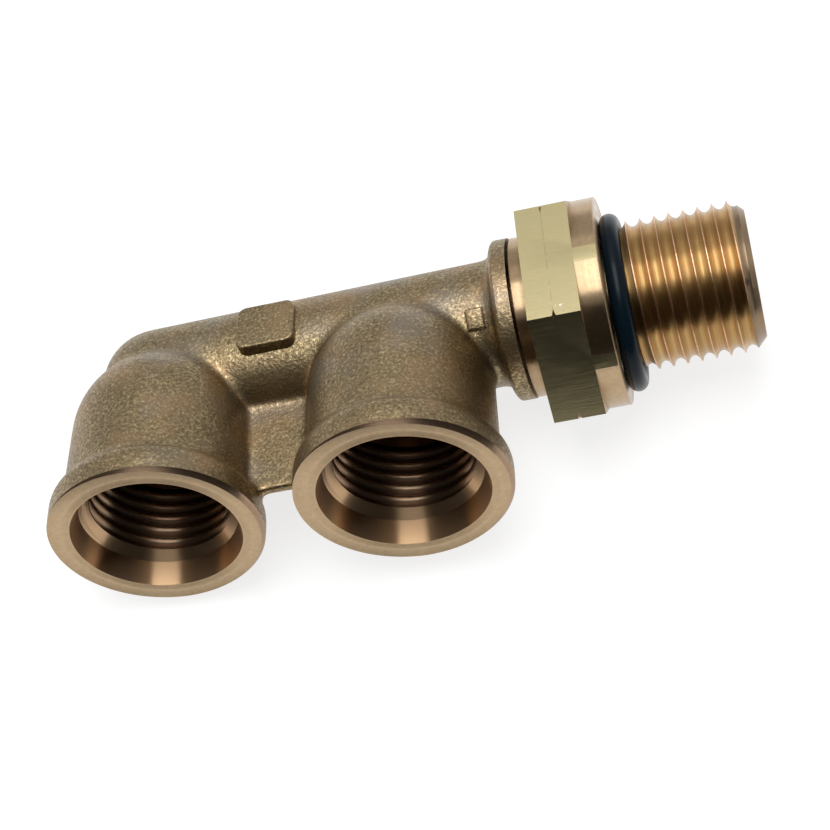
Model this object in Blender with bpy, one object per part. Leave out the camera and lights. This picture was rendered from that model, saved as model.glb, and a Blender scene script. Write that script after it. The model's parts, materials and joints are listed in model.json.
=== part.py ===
"""Swivel manifold elbow for compressed air.

A forged brass run carries two threaded ports side by side. A stud turned from
hexagon bar turns freely on the run's spigot, is held there by a round wire ring
and is sealed by an O-ring. A larger O-ring seals the stud in the housing that it
screws into. Lengths are in metres. The fitting is modelled square, with the run
along +X and the ports facing -Y, then laid down as it comes to rest on a table.
"""

import math

import bmesh
import bpy
from mathutils import Matrix, Vector

MM = 0.001

# Run: the straight tube that joins the two ports to the stud
RUN_RADIUS = 6.75 * MM
RUN_END_RADIUS = 6.45 * MM
RUN_BORE_RADIUS = 4.0 * MM
RUN_END_OVERHANG = 0.8 * MM
FLANGE_RADIUS = 8.6 * MM
FLANGE_WIDTH = 1.35 * MM
FLANGE_SHOULDER = 0.75 * MM
FLANGE_COVE = 0.6 * MM
FLANGE_FACE_X = 39.6 * MM

# Ports: two barrels with domed backs, a flared lip and a tapped M16 x 1.5 hole
PORT_SPACING = 26.3 * MM
DOME_RADIUS = 9.8 * MM
DOME_DEPTH = 7.8 * MM
BARREL_RADIUS = 9.95 * MM
MOUTH_DEPTH = 20.2 * MM
LIP_RADIUS = 11.2 * MM
LIP_WIDTH = 1.9 * MM
LIP_SHOULDER = 1.8 * MM
LIP_COVE = 0.6 * MM
RECESS_RADIUS = 8.85 * MM
RECESS_FLOOR_RADIUS = 8.2 * MM
RECESS_DEPTH = 2.55 * MM
TAPPING_RADIUS = 7.19 * MM
TAPPING_DEPTH = 14.4 * MM
PASSAGE_RADIUS = 4.6 * MM
DRILL_TIP_ANGLE = math.radians(118)

# Web between the barrels, and the raised pad on the run's upper side
WEB_ROOT_THICKNESS = 3.4 * MM
WEB_EDGE_THICKNESS = 1.2 * MM
WEB_EDGE_DEPTH = 17.1 * MM
PAD_CENTRE_X = 13.35 * MM
PAD_CENTRE_Y = -0.28 * MM
PAD_LENGTH = 6.3 * MM
PAD_WIDTH = 5.75 * MM
PAD_HEIGHT = 0.4 * MM
PAD_CORNER_RADIUS = 1.0 * MM
PAD_EDGE_RADIUS = 0.3 * MM

# Spigot: the turned end of the run that the stud turns on
SPIGOT_RADIUS = 5.9 * MM
SPIGOT_LENGTH = 8.2 * MM
SPIGOT_CHAMFER = 0.4 * MM
RUNNING_GAP = 0.3 * MM
FACE_GAP = 0.3 * MM

# Retaining ring: round spring wire, half in the spigot and half in the stud
WIRE_RADIUS = 0.55 * MM
WIRE_GAP = 0.25 * MM
WIRE_OFFSET = 3.1 * MM
WIRE_OPENING = math.radians(28)

# Spigot seal: a squeezed O-ring in the spigot's second groove
SPIGOT_SEAL_WIDTH = 1.5 * MM
SPIGOT_SEAL_OFFSET = 6.3 * MM
SPIGOT_GROOVE_DEPTH = 0.95 * MM
SPIGOT_GROOVE_WIDTH = 2.0 * MM
SEAL_GAP = 0.1 * MM

# Stud: turned from hexagon bar
SHOULDER_RADIUS = 8.5 * MM
SHOULDER_WIDTH = 1.63 * MM
HEX_ACROSS_FLATS = 22.0 * MM
HEX_WIDTH = 5.38 * MM
HEX_CORNER_ANGLE = math.radians(45.6)
NICK_WIDTH = 0.55 * MM
NICK_DEPTH = 0.6 * MM
COLLAR_RADIUS = 11.03 * MM
COLLAR_WIDTH = 2.42 * MM
NECK_RADIUS = 6.85 * MM
NECK_WIDTH = 2.0 * MM
THREAD_RADIUS = 7.9 * MM
THREAD_ROOT_RADIUS = 7.2 * MM
THREAD_PITCH = 1.5 * MM
THREAD_LENGTH = 12.85 * MM
THREAD_FIRST_ROOT = 0.32 * MM
THREAD_END_CHAMFER = 1.28 * MM
STUD_THREAD_RINGS = 7
PORT_THREAD_RINGS = 5
STUD_BORE_RADIUS = 4.75 * MM
COUNTERBORE_FLOOR_GAP = 0.4 * MM
BORE_CHAMFER = 0.5 * MM

# Stud seal: the O-ring that is seen against the collar
STUD_SEAL_SECTION_RADIUS = 1.1 * MM
STUD_SEAL_GAP = 0.1 * MM
STUD_SEAL_LOOSENESS = 0.45 * MM
STUD_SEAL_SHIFT_Y = -0.32 * MM
STUD_SEAL_SHIFT_Z = -0.12 * MM

# Forging skin: voxel size, rounding passes and the share of faces kept
SKIN_VOXEL = 0.4 * MM
SKIN_ROUNDING_PASSES = 14
SKIN_FACES_KEPT = 0.06

ROUND_STEPS = 60
BORE_STEPS = 48
RING_STEPS = 36
SECTION_STEPS = 10
ARC_STEPS = 8
CUT_OVERRUN = 1.0 * MM

# Places that follow from the sizes above
HEX_APOTHEM = HEX_ACROSS_FLATS / 2
HEX_CORNER_RADIUS = HEX_APOTHEM / math.cos(math.pi / 6)
STUD_X = FLANGE_FACE_X + FACE_GAP
HEX_X = STUD_X + SHOULDER_WIDTH
COLLAR_X = HEX_X + HEX_WIDTH
COLLAR_FACE_X = COLLAR_X + COLLAR_WIDTH
THREAD_X = COLLAR_FACE_X + NECK_WIDTH
STUD_TIP_X = THREAD_X + THREAD_LENGTH
SPIGOT_END_X = FLANGE_FACE_X + SPIGOT_LENGTH
COUNTERBORE_RADIUS = SPIGOT_RADIUS + RUNNING_GAP
COUNTERBORE_END_X = SPIGOT_END_X + COUNTERBORE_FLOOR_GAP
WIRE_X = FLANGE_FACE_X + WIRE_OFFSET
WIRE_RING_RADIUS = (SPIGOT_RADIUS + COUNTERBORE_RADIUS) / 2
WIRE_GROOVE_HALF = WIRE_RADIUS + WIRE_GAP
SPIGOT_SEAL_X = FLANGE_FACE_X + SPIGOT_SEAL_OFFSET
SPIGOT_GROOVE_RADIUS = SPIGOT_RADIUS - SPIGOT_GROOVE_DEPTH
STUD_SEAL_RADIUS = NECK_RADIUS + STUD_SEAL_LOOSENESS + STUD_SEAL_SECTION_RADIUS
STUD_SEAL_X = COLLAR_FACE_X + STUD_SEAL_GAP + STUD_SEAL_SECTION_RADIUS


def clear_scene():
    """Empty the scene without closing the file."""
    for thing in list(bpy.data.objects):
        bpy.data.objects.remove(thing, do_unlink=True)


def make_material(name, colour, roughness, metallic):
    """Make a Principled BSDF material."""
    material = bpy.data.materials.new(name)
    material.use_nodes = True
    shader = material.node_tree.nodes["Principled BSDF"]
    shader.inputs["Base Color"].default_value = (*colour, 1.0)
    shader.inputs["Roughness"].default_value = roughness
    shader.inputs["Metallic"].default_value = metallic
    material.diffuse_color = (*colour, 1.0)
    return material


def arc(centre, radius, start, end, steps=ARC_STEPS):
    """Points along an arc in the profile plane, angles in degrees."""
    points = []
    for step in range(steps + 1):
        angle = math.radians(start + (end - start) * step / steps)
        points.append((centre[0] + radius * math.cos(angle),
                       centre[1] + radius * math.sin(angle)))
    return points


def revolve(bm, profile, steps, turn=None, closed=False):
    """Spin a profile of (along, radius) points about X and close it."""
    spun = bmesh.new()
    verts = [spun.verts.new((along, radius, 0.0)) for along, radius in profile]
    edges = [spun.edges.new(pair) for pair in zip(verts, verts[1:])]
    if closed:
        edges.append(spun.edges.new((verts[-1], verts[0])))
    bmesh.ops.spin(spun, geom=verts + edges, axis=(1, 0, 0), cent=(0, 0, 0),
                   steps=steps, angle=math.tau, use_merge=True)
    bmesh.ops.remove_doubles(spun, verts=spun.verts, dist=1e-7)
    bmesh.ops.recalc_face_normals(spun, faces=spun.faces)
    if turn is not None:
        bmesh.ops.transform(spun, matrix=turn, verts=spun.verts)
    piece = bpy.data.meshes.new("spun")
    spun.to_mesh(piece)
    spun.free()
    bm.from_mesh(piece)
    bpy.data.meshes.remove(piece)


def add_block(bm, low, high):
    """Add a closed box between two corners."""
    low = Vector(low)
    high = Vector(high)
    size = high - low
    place = Matrix.Translation((low + high) / 2) @ Matrix.Diagonal((*size, 1.0))
    return bmesh.ops.create_cube(bm, size=1.0, matrix=place)["verts"]


def add_web(bm):
    """Add the web between the barrels, thick at the run and thin at its edge."""
    half = WEB_ROOT_THICKNESS / 2
    corners = add_block(bm, (0, -WEB_EDGE_DEPTH, -half), (PORT_SPACING, 0, half))
    edge = [vert for vert in corners if vert.co.y < -WEB_EDGE_DEPTH / 2]
    taper = Vector((1, 1, WEB_EDGE_THICKNESS / WEB_ROOT_THICKNESS))
    bmesh.ops.scale(bm, vec=taper, verts=edge)


def make_object(name, bm, parent, material=None, location=(0, 0, 0)):
    """Turn a bmesh into an object under the lying frame."""
    mesh = bpy.data.meshes.new(name)
    bm.to_mesh(mesh)
    bm.free()
    mesh.shade_smooth()
    mesh.set_sharp_from_angle(angle=math.radians(30))
    thing = bpy.data.objects.new(name, mesh)
    bpy.context.scene.collection.objects.link(thing)
    thing.parent = parent
    thing.location = location
    if material is not None:
        mesh.materials.append(material)
    return thing


def make_tool(name, bm, parent, location=(0, 0, 0)):
    """Make a cutter or a helper shape, which is no piece of the fitting."""
    tool = make_object(name, bm, parent, location=location)
    tool.hide_render = True
    tool.display_type = "WIRE"
    return tool


def combine(thing, tool, operation):
    """Add a Boolean step to an object."""
    step = thing.modifiers.new(operation.lower() + " " + tool.name, "BOOLEAN")
    step.operation = operation
    step.object = tool
    step.solver = "EXACT"


def port_turn(x):
    """Matrix that takes a profile from +X to -Y at a port's place."""
    return Matrix.Translation((x, 0, 0)) @ Matrix.Rotation(-math.pi / 2, 4, "Z")


def run_profile():
    """Outer profile of the forged run: domed end, drafted tube, rimmed flange.

    It is longer than the turned end needs.
    """
    blank_end = SPIGOT_END_X + CUT_OVERRUN
    return [
        *arc((-RUN_END_OVERHANG, 0), RUN_END_RADIUS, 180, 90, 2 * ARC_STEPS),
        *rim_rise(FLANGE_FACE_X - FLANGE_WIDTH, RUN_RADIUS, FLANGE_RADIUS,
                  FLANGE_SHOULDER, FLANGE_COVE),
        (FLANGE_FACE_X + CUT_OVERRUN, FLANGE_RADIUS),
        (FLANGE_FACE_X + CUT_OVERRUN, FLANGE_RADIUS - CUT_OVERRUN),
        (blank_end, FLANGE_RADIUS - CUT_OVERRUN),
        (blank_end, 0),
    ]


def rim_rise(along, low, high, shoulder, cove):
    """Points that climb through a small cove and a rounded shoulder onto a rim."""
    foot = along - shoulder
    rounded = [(foot + shoulder * (1 - math.cos(angle)),
                low + cove / 3 + (high - low - cove / 3) * math.sin(angle))
               for angle in (math.pi / 2 * step / ARC_STEPS
                             for step in range(ARC_STEPS + 1))]
    return [(foot - cove, low), *rounded]


def barrel_profile():
    """Outer profile of a port: domed back, drafted barrel, flared lip."""
    return [
        *arc((DOME_DEPTH, 0), DOME_RADIUS, 180, 90, 2 * ARC_STEPS),
        *rim_rise(MOUTH_DEPTH - LIP_WIDTH, BARREL_RADIUS, LIP_RADIUS,
                  LIP_SHOULDER, LIP_COVE),
        (MOUTH_DEPTH + CUT_OVERRUN, LIP_RADIUS),
        (MOUTH_DEPTH + CUT_OVERRUN, 0),
    ]


def thread_rings(along, count, level, reach):
    """Points of plain rings, one a pitch, that stand for a thread without its helix.

    Each ring leaves the level for the reach and comes back after a pitch.
    """
    points = []
    for ring in range(count):
        start = along + ring * THREAD_PITCH
        points.append((start, level))
        points.append((start + THREAD_PITCH / 2, reach))
    return points


def port_tool_profile():
    """Profile of what is faced, recessed, chamfered and drilled at a port.

    The tapping drill stops above the run, and a narrower passage goes on to the
    run's axis. The recess narrows a little towards the thread.
    """
    outside = MOUTH_DEPTH + 2 * CUT_OVERRUN
    recess_floor = MOUTH_DEPTH - RECESS_DEPTH
    lead = recess_floor - (RECESS_FLOOR_RADIUS - TAPPING_RADIUS)
    drill_end = MOUTH_DEPTH - TAPPING_DEPTH
    cone = (TAPPING_RADIUS - PASSAGE_RADIUS) / math.tan(DRILL_TIP_ANGLE / 2)
    return [
        (-PASSAGE_RADIUS / math.tan(DRILL_TIP_ANGLE / 2), 0),
        (0, PASSAGE_RADIUS),
        (drill_end - cone, PASSAGE_RADIUS),
        (drill_end, TAPPING_RADIUS),
        *thread_rings(lead - PORT_THREAD_RINGS * THREAD_PITCH, PORT_THREAD_RINGS,
                      TAPPING_RADIUS, THREAD_RADIUS),
        (lead, TAPPING_RADIUS),
        (recess_floor, RECESS_FLOOR_RADIUS),
        (MOUTH_DEPTH, RECESS_RADIUS),
        (MOUTH_DEPTH, LIP_RADIUS + CUT_OVERRUN),
        (outside, LIP_RADIUS + CUT_OVERRUN),
        (outside, 0),
    ]


def spigot_tool_profile():
    """Closed ring profile of what is turned away round the spigot."""
    outer = FLANGE_RADIUS + CUT_OVERRUN
    end = SPIGOT_END_X + 2 * CUT_OVERRUN
    wire_floor = WIRE_RING_RADIUS - WIRE_GROOVE_HALF
    seal_half = SPIGOT_GROOVE_WIDTH / 2
    return [
        (FLANGE_FACE_X, outer),
        (FLANGE_FACE_X, SPIGOT_RADIUS),
        (WIRE_X - WIRE_GROOVE_HALF, SPIGOT_RADIUS),
        (WIRE_X - WIRE_GROOVE_HALF, wire_floor),
        (WIRE_X + WIRE_GROOVE_HALF, wire_floor),
        (WIRE_X + WIRE_GROOVE_HALF, SPIGOT_RADIUS),
        (SPIGOT_SEAL_X - seal_half, SPIGOT_RADIUS),
        (SPIGOT_SEAL_X - seal_half, SPIGOT_GROOVE_RADIUS),
        (SPIGOT_SEAL_X + seal_half, SPIGOT_GROOVE_RADIUS),
        (SPIGOT_SEAL_X + seal_half, SPIGOT_RADIUS),
        (SPIGOT_END_X - SPIGOT_CHAMFER, SPIGOT_RADIUS),
        (SPIGOT_END_X, SPIGOT_RADIUS - SPIGOT_CHAMFER),
        (SPIGOT_END_X, 0),
        (end, 0),
        (end, outer),
    ]


def run_drill_profile():
    """Profile of the drill that opens the run from the spigot to port 1."""
    tip = -RUN_BORE_RADIUS / math.tan(DRILL_TIP_ANGLE / 2)
    return [
        (tip, 0),
        (0, RUN_BORE_RADIUS),
        (SPIGOT_END_X + CUT_OVERRUN, RUN_BORE_RADIUS),
        (SPIGOT_END_X + CUT_OVERRUN, 0),
    ]


def stud_profile():
    """Outer profile of the stud, measured from its inner end face."""
    hex_start = HEX_X - STUD_X
    collar_start = COLLAR_X - STUD_X
    collar_end = COLLAR_FACE_X - STUD_X
    thread_start = THREAD_X - STUD_X
    first_root = thread_start + THREAD_FIRST_ROOT
    tip = STUD_TIP_X - STUD_X
    clear_of_bar = HEX_CORNER_RADIUS + CUT_OVERRUN
    return [
        (0, 0),
        (0, SHOULDER_RADIUS),
        (hex_start, SHOULDER_RADIUS),
        (hex_start, clear_of_bar),
        (collar_start, clear_of_bar),
        (collar_start, COLLAR_RADIUS),
        (collar_end, COLLAR_RADIUS),
        (collar_end, NECK_RADIUS),
        (thread_start, NECK_RADIUS),
        *thread_rings(first_root, STUD_THREAD_RINGS, THREAD_ROOT_RADIUS, THREAD_RADIUS),
        (first_root + STUD_THREAD_RINGS * THREAD_PITCH, THREAD_ROOT_RADIUS),
        (tip - THREAD_END_CHAMFER, THREAD_RADIUS),
        (tip, THREAD_RADIUS - THREAD_END_CHAMFER),
        (tip, 0),
    ]


def stud_bore_profile():
    """Profile of the stud's counterbore, wire groove and through bore."""
    wire = WIRE_X - STUD_X
    floor = COUNTERBORE_END_X - STUD_X
    tip = STUD_TIP_X - STUD_X
    wire_outer = WIRE_RING_RADIUS + WIRE_GROOVE_HALF
    mouth = COUNTERBORE_RADIUS + BORE_CHAMFER + CUT_OVERRUN
    tip_mouth = STUD_BORE_RADIUS + BORE_CHAMFER + CUT_OVERRUN
    return [
        (-CUT_OVERRUN, 0),
        (-CUT_OVERRUN, mouth),
        (BORE_CHAMFER, COUNTERBORE_RADIUS),
        (wire - WIRE_GROOVE_HALF, COUNTERBORE_RADIUS),
        (wire - WIRE_GROOVE_HALF, wire_outer),
        (wire + WIRE_GROOVE_HALF, wire_outer),
        (wire + WIRE_GROOVE_HALF, COUNTERBORE_RADIUS),
        (floor, COUNTERBORE_RADIUS),
        (floor, STUD_BORE_RADIUS),
        (tip - BORE_CHAMFER, STUD_BORE_RADIUS),
        (tip + CUT_OVERRUN, tip_mouth),
        (tip + CUT_OVERRUN, 0),
    ]


def nick_profile():
    """Closed profile of the V groove that nicks the hexagon's corners."""
    middle = HEX_X + HEX_WIDTH / 2 - STUD_X
    outer = HEX_CORNER_RADIUS + CUT_OVERRUN
    flare = NICK_WIDTH / 2 * (outer - HEX_CORNER_RADIUS + NICK_DEPTH) / NICK_DEPTH
    return [
        (middle, HEX_CORNER_RADIUS - NICK_DEPTH),
        (middle + flare, outer),
        (middle - flare, outer),
    ]


def make_forging(frame, material):
    """The body: a forged blank with soft fillets, then its machined cuts."""
    blank = bmesh.new()
    revolve(blank, run_profile(), ROUND_STEPS)
    for x in (0.0, PORT_SPACING):
        revolve(blank, barrel_profile(), ROUND_STEPS, port_turn(x))
    add_web(blank)
    body = make_object("manifold_body", blank, frame, material)

    skin = body.modifiers.new("forged skin", "REMESH")
    skin.mode = "VOXEL"
    skin.voxel_size = SKIN_VOXEL
    skin.use_smooth_shade = True
    rounding = body.modifiers.new("forged fillets", "SMOOTH")
    rounding.factor = 0.5
    rounding.iterations = SKIN_ROUNDING_PASSES
    fewer = body.modifiers.new("fewer faces", "DECIMATE")
    fewer.ratio = SKIN_FACES_KEPT

    combine(body, make_pad(frame), "UNION")
    for number, x in enumerate((0.0, PORT_SPACING), start=1):
        cut = bmesh.new()
        revolve(cut, port_tool_profile(), BORE_STEPS, port_turn(x))
        combine(body, make_tool(f"port_{number}_tool", cut, frame), "DIFFERENCE")
    turning = bmesh.new()
    revolve(turning, spigot_tool_profile(), BORE_STEPS, closed=True)
    combine(body, make_tool("spigot_tool", turning, frame), "DIFFERENCE")
    drill = bmesh.new()
    revolve(drill, run_drill_profile(), BORE_STEPS)
    combine(body, make_tool("run_drill", drill, frame), "DIFFERENCE")
    return body


def make_pad(frame):
    """The bare raised pad on the run's upper side, with rounded corners."""
    pad = bmesh.new()
    top = RUN_RADIUS + PAD_HEIGHT
    low = (PAD_CENTRE_X - PAD_LENGTH / 2, PAD_CENTRE_Y - PAD_WIDTH / 2, RUN_RADIUS / 2)
    high = (PAD_CENTRE_X + PAD_LENGTH / 2, PAD_CENTRE_Y + PAD_WIDTH / 2, top)
    add_block(pad, low, high)
    upright = [edge for edge in pad.edges
               if abs(edge.verts[0].co.z - edge.verts[1].co.z) > PAD_HEIGHT]
    bmesh.ops.bevel(pad, geom=upright, offset=PAD_CORNER_RADIUS, segments=4,
                    profile=0.5, affect="EDGES")
    rim = [edge for edge in pad.edges
           if all(abs(vert.co.z - top) < 1e-7 for vert in edge.verts)]
    bmesh.ops.bevel(pad, geom=rim, offset=PAD_EDGE_RADIUS, segments=2,
                    profile=0.5, affect="EDGES")
    return make_tool("pad_shape", pad, frame)


def make_stud(frame, material):
    """The stud, turned and bored from hexagon bar."""
    bar = bmesh.new()
    length = STUD_TIP_X - STUD_X + 2 * CUT_OVERRUN
    bmesh.ops.create_cone(bar, cap_ends=True, segments=6, radius1=HEX_CORNER_RADIUS,
                          radius2=HEX_CORNER_RADIUS, depth=length)
    lay = Matrix.Translation((length / 2 - CUT_OVERRUN, 0, 0)) \
        @ Matrix.Rotation(math.pi / 2, 4, "Y")
    bmesh.ops.transform(bar, matrix=lay, verts=bar.verts)
    corner = max(bar.verts, key=lambda vert: vert.co.z).co
    present = math.atan2(corner.z, -corner.y)
    spin = Matrix.Rotation(present - HEX_CORNER_ANGLE, 4, "X")
    bmesh.ops.transform(bar, matrix=spin, verts=bar.verts)
    stud = make_object("swivel_stud", bar, frame, material, (STUD_X, 0, 0))
    for name, profile, operation, closed in (
            ("stud_turning", stud_profile(), "INTERSECT", False),
            ("nick_tool", nick_profile(), "DIFFERENCE", True),
            ("stud_bore_tool", stud_bore_profile(), "DIFFERENCE", False)):
        cut = bmesh.new()
        revolve(cut, profile, ROUND_STEPS, closed=closed)
        tool = make_tool(name, cut, frame, (STUD_X, 0, 0))
        combine(stud, tool, operation)
    return stud


def make_seal(name, frame, material, place, radius, half_height, half_width):
    """An O-ring with an oval section, its middle on the run's axis or near it."""
    section = []
    for step in range(SECTION_STEPS):
        angle = math.tau * step / SECTION_STEPS
        section.append((half_width * math.cos(angle),
                        radius + half_height * math.sin(angle)))
    ring = bmesh.new()
    revolve(ring, section, RING_STEPS, closed=True)
    return make_object(name, ring, frame, material, place)


def make_retaining_ring(frame, material):
    """An open ring of round wire, lying in both grooves."""
    ring = bmesh.new()
    section = []
    for step in range(SECTION_STEPS):
        angle = math.tau * step / SECTION_STEPS
        section.append(ring.verts.new((WIRE_RADIUS * math.cos(angle),
                                       WIRE_RING_RADIUS + WIRE_RADIUS * math.sin(angle), 0)))
    face = ring.faces.new(section)
    sweep = math.tau - WIRE_OPENING
    start = Matrix.Rotation(WIRE_OPENING / 2, 4, "X")
    bmesh.ops.transform(ring, matrix=start, verts=ring.verts)
    bmesh.ops.spin(ring, geom=[face], axis=(1, 0, 0), cent=(0, 0, 0),
                   steps=RING_STEPS, angle=sweep, use_merge=False)
    bmesh.ops.recalc_face_normals(ring, faces=ring.faces)
    return make_object("retaining_ring", ring, frame, material, (WIRE_X, 0, 0))


def lying_turn():
    """Rotation from the square frame to the way the fitting lies on a table.

    A flat of the hexagon lies on the table, so the body rolls back by what its
    corner lacks of sixty degrees. The back of port 1 rests at the other end.
    """
    roll = math.pi / 3 - HEX_CORNER_ANGLE
    dome_height = DOME_DEPTH * math.sin(roll)
    reach = math.hypot(HEX_X, HEX_APOTHEM + dome_height)
    bearing = math.atan2(HEX_APOTHEM + dome_height, HEX_X)
    pitch = bearing - math.asin(DOME_RADIUS / reach)
    return Matrix.Rotation(-pitch, 4, "Y") @ Matrix.Rotation(-roll, 4, "X")


def lay_down(frame, pieces):
    """Turn the fitting to its rest and stand the middle of its box on the origin."""
    frame.matrix_world = lying_turn()
    bpy.context.view_layer.update()
    graph = bpy.context.evaluated_depsgraph_get()
    corners = []
    for piece in pieces:
        shown = piece.evaluated_get(graph)
        mesh = shown.to_mesh()
        corners.extend(shown.matrix_world @ vert.co for vert in mesh.vertices)
        shown.to_mesh_clear()
    low = Vector(min(corner[axis] for corner in corners) for axis in range(3))
    high = Vector(max(corner[axis] for corner in corners) for axis in range(3))
    middle = (low + high) / 2
    frame.location = (-middle.x, -middle.y, -low.z)


def main():
    """Build the fitting."""
    clear_scene()
    frame = bpy.data.objects.new("lying_frame", None)
    bpy.context.scene.collection.objects.link(frame)
    forged_brass = make_material("forged_brass", (0.33, 0.24, 0.12), 0.45, 1.0)
    turned_brass = make_material("turned_brass", (0.62, 0.46, 0.20), 0.25, 1.0)
    rubber = make_material("black_rubber", (0.012, 0.014, 0.018), 0.45, 0.0)
    spring_steel = make_material("spring_steel", (0.45, 0.45, 0.46), 0.3, 1.0)
    spigot_seal_height = (COUNTERBORE_RADIUS - SPIGOT_GROOVE_RADIUS) / 2 - SEAL_GAP
    pieces = [
        make_forging(frame, forged_brass),
        make_stud(frame, turned_brass),
        make_retaining_ring(frame, spring_steel),
        make_seal("spigot_o_ring", frame, rubber, (SPIGOT_SEAL_X, 0, 0),
                  (COUNTERBORE_RADIUS + SPIGOT_GROOVE_RADIUS) / 2,
                  spigot_seal_height, SPIGOT_SEAL_WIDTH / 2),
        make_seal("stud_o_ring", frame, rubber,
                  (STUD_SEAL_X, STUD_SEAL_SHIFT_Y, STUD_SEAL_SHIFT_Z), STUD_SEAL_RADIUS,
                  STUD_SEAL_SECTION_RADIUS, STUD_SEAL_SECTION_RADIUS),
    ]
    lay_down(frame, pieces)


main()
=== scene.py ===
"""Looks of the swivel manifold elbow: forged brass body, turned stud, seals and studio.

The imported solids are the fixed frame. Lengths are in metres. Every piece is built in
the fitting's square frame, with the run along +X and the ports facing -Y, and then
laid where the solids lie.
"""

import json
import logging
import math
from dataclasses import dataclass, field
from enum import Enum, IntEnum
from typing import Iterable, NamedTuple, Sequence, Union

import bmesh
import bpy
from bpy.types import Material, NodeSocket, Object
from mathutils import Matrix, Vector

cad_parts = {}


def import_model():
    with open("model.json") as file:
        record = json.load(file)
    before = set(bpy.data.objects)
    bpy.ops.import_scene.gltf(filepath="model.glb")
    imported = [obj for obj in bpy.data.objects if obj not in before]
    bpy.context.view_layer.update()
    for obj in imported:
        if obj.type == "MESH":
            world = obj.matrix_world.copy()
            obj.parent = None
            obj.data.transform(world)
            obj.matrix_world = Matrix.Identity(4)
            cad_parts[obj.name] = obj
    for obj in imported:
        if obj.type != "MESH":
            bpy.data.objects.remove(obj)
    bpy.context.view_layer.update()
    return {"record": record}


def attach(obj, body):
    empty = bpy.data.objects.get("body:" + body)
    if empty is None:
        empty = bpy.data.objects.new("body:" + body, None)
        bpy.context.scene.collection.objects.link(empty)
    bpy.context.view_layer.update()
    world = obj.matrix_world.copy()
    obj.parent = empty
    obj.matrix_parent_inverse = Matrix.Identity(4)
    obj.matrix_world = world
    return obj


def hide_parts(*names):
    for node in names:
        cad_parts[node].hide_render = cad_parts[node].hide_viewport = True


LOG = logging.getLogger("fitting")
MM = 0.001
MERGE_GAP = 1e-4 * MM
WELD_GAP = 1e-3 * MM
IMAGE_SIDE = 830
SENSOR_WIDTH = 36.0
NOISE_SPAN = (0.3, 0.7)

Profile = list[tuple[float, float]]
Triple = tuple[float, float, float]
Feed = Union[NodeSocket, float, Sequence[float]]


class Zone(IntEnum):
    """How a stretch of a brass surface was made."""

    AS_FORGED = 0
    TURNED = 1
    THREADED = 2
    DRAWN = 3


class Cut(Enum):
    """What a Boolean step does with its tool."""

    ADD = "UNION"
    TAKE = "DIFFERENCE"
    KEEP = "INTERSECT"


class Pattern(NamedTuple):
    """A procedural noise.

    Attributes:
        per_mm: how often it changes over a millimetre.
        detail: how many finer layers it has.
        roughness: how strong they are.
    """

    per_mm: float
    detail: float = 2.0
    roughness: float = 0.5


class Fade(NamedTuple):
    """A range of values that is mapped onto another.

    Attributes:
        low: where the range starts.
        high: where it ends.
        to_low: what its start becomes.
        to_high: what its end becomes.
    """

    low: float
    high: float
    to_low: float = 0.0
    to_high: float = 1.0


@dataclass(frozen=True)
class SquareFrame:
    """The fitting's own axes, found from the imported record.

    Attributes:
        matrix: takes a point of the square frame to where the solids lie.
    """

    matrix: Matrix

    @classmethod
    def from_record(cls, record: dict, stud_x: float) -> "SquareFrame":
        """Read the frame from the swivel's axis and a port's mount.

        Args:
            record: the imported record.
            stud_x: how far the swivel's point lies along the run.

        Returns:
            The square frame.
        """
        swivel = record["behaviour"]["joints"][0]
        along = Vector(swivel["axis"]).normalized()
        mount = next(m for m in record["mounts"] if m["name"] == "port_1_face")
        back = -Vector(mount["axis"]).normalized()
        up = along.cross(back).normalized()
        back = up.cross(along)
        origin = Vector(swivel["pos_m"]) - along * stud_x
        turn = Matrix((along, back, up)).transposed().to_4x4()
        return cls(Matrix.Translation(origin) @ turn)

    def lay(self, mesh: bpy.types.Mesh) -> None:
        """Move a mesh from the square frame to its place."""
        mesh.transform(self.matrix)
        mesh.update()


def in_mm(*spots: Triple) -> tuple[Triple, ...]:
    """Turn spots that are given in millimetres into metres."""
    return tuple(tuple(part * MM for part in spot) for spot in spots)


def tinted(colour: Triple, tint: Triple) -> Triple:
    """Multiply a colour by a tint."""
    return tuple(part * share for part, share in zip(colour, tint))


def arc(centre: tuple[float, float], radius: float, steps: int) -> Profile:
    """Points of a profile's dome, from the axis to its full height.

    Args:
        centre: the dome's middle, along the axis and out from it.
        radius: its radius.
        steps: how many chords it has.

    Returns:
        The points, both ends included.
    """
    angles = [math.pi * (1 - step / steps / 2) for step in range(steps + 1)]
    return [(centre[0] + radius * math.cos(a), centre[1] + radius * math.sin(a))
            for a in angles]


def rim_rise(along: float, low: float, high: float, shoulder: float, cove: float,
             steps: int = 16) -> Profile:
    """Points that climb through a small cove and a rounded shoulder onto a rim.

    Args:
        along: where the rim starts.
        low: radius before it.
        high: radius of the rim.
        shoulder: length of the rounded rise.
        cove: length of the hollow before it.
        steps: chords of the rise.

    Returns:
        The points.
    """
    foot = along - shoulder
    base = low + cove / 3
    angles = [math.pi / 2 * step / steps for step in range(steps + 1)]
    return [(foot - cove, low),
            *((foot + shoulder * (1 - math.cos(a)), base + (high - base) * math.sin(a))
              for a in angles)]


def port_turn(x: float) -> Matrix:
    """Matrix that takes a profile from +X to -Y at a port's place."""
    return Matrix.Translation((x, 0, 0)) @ Matrix.Rotation(-math.pi / 2, 4, "Z")


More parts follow.
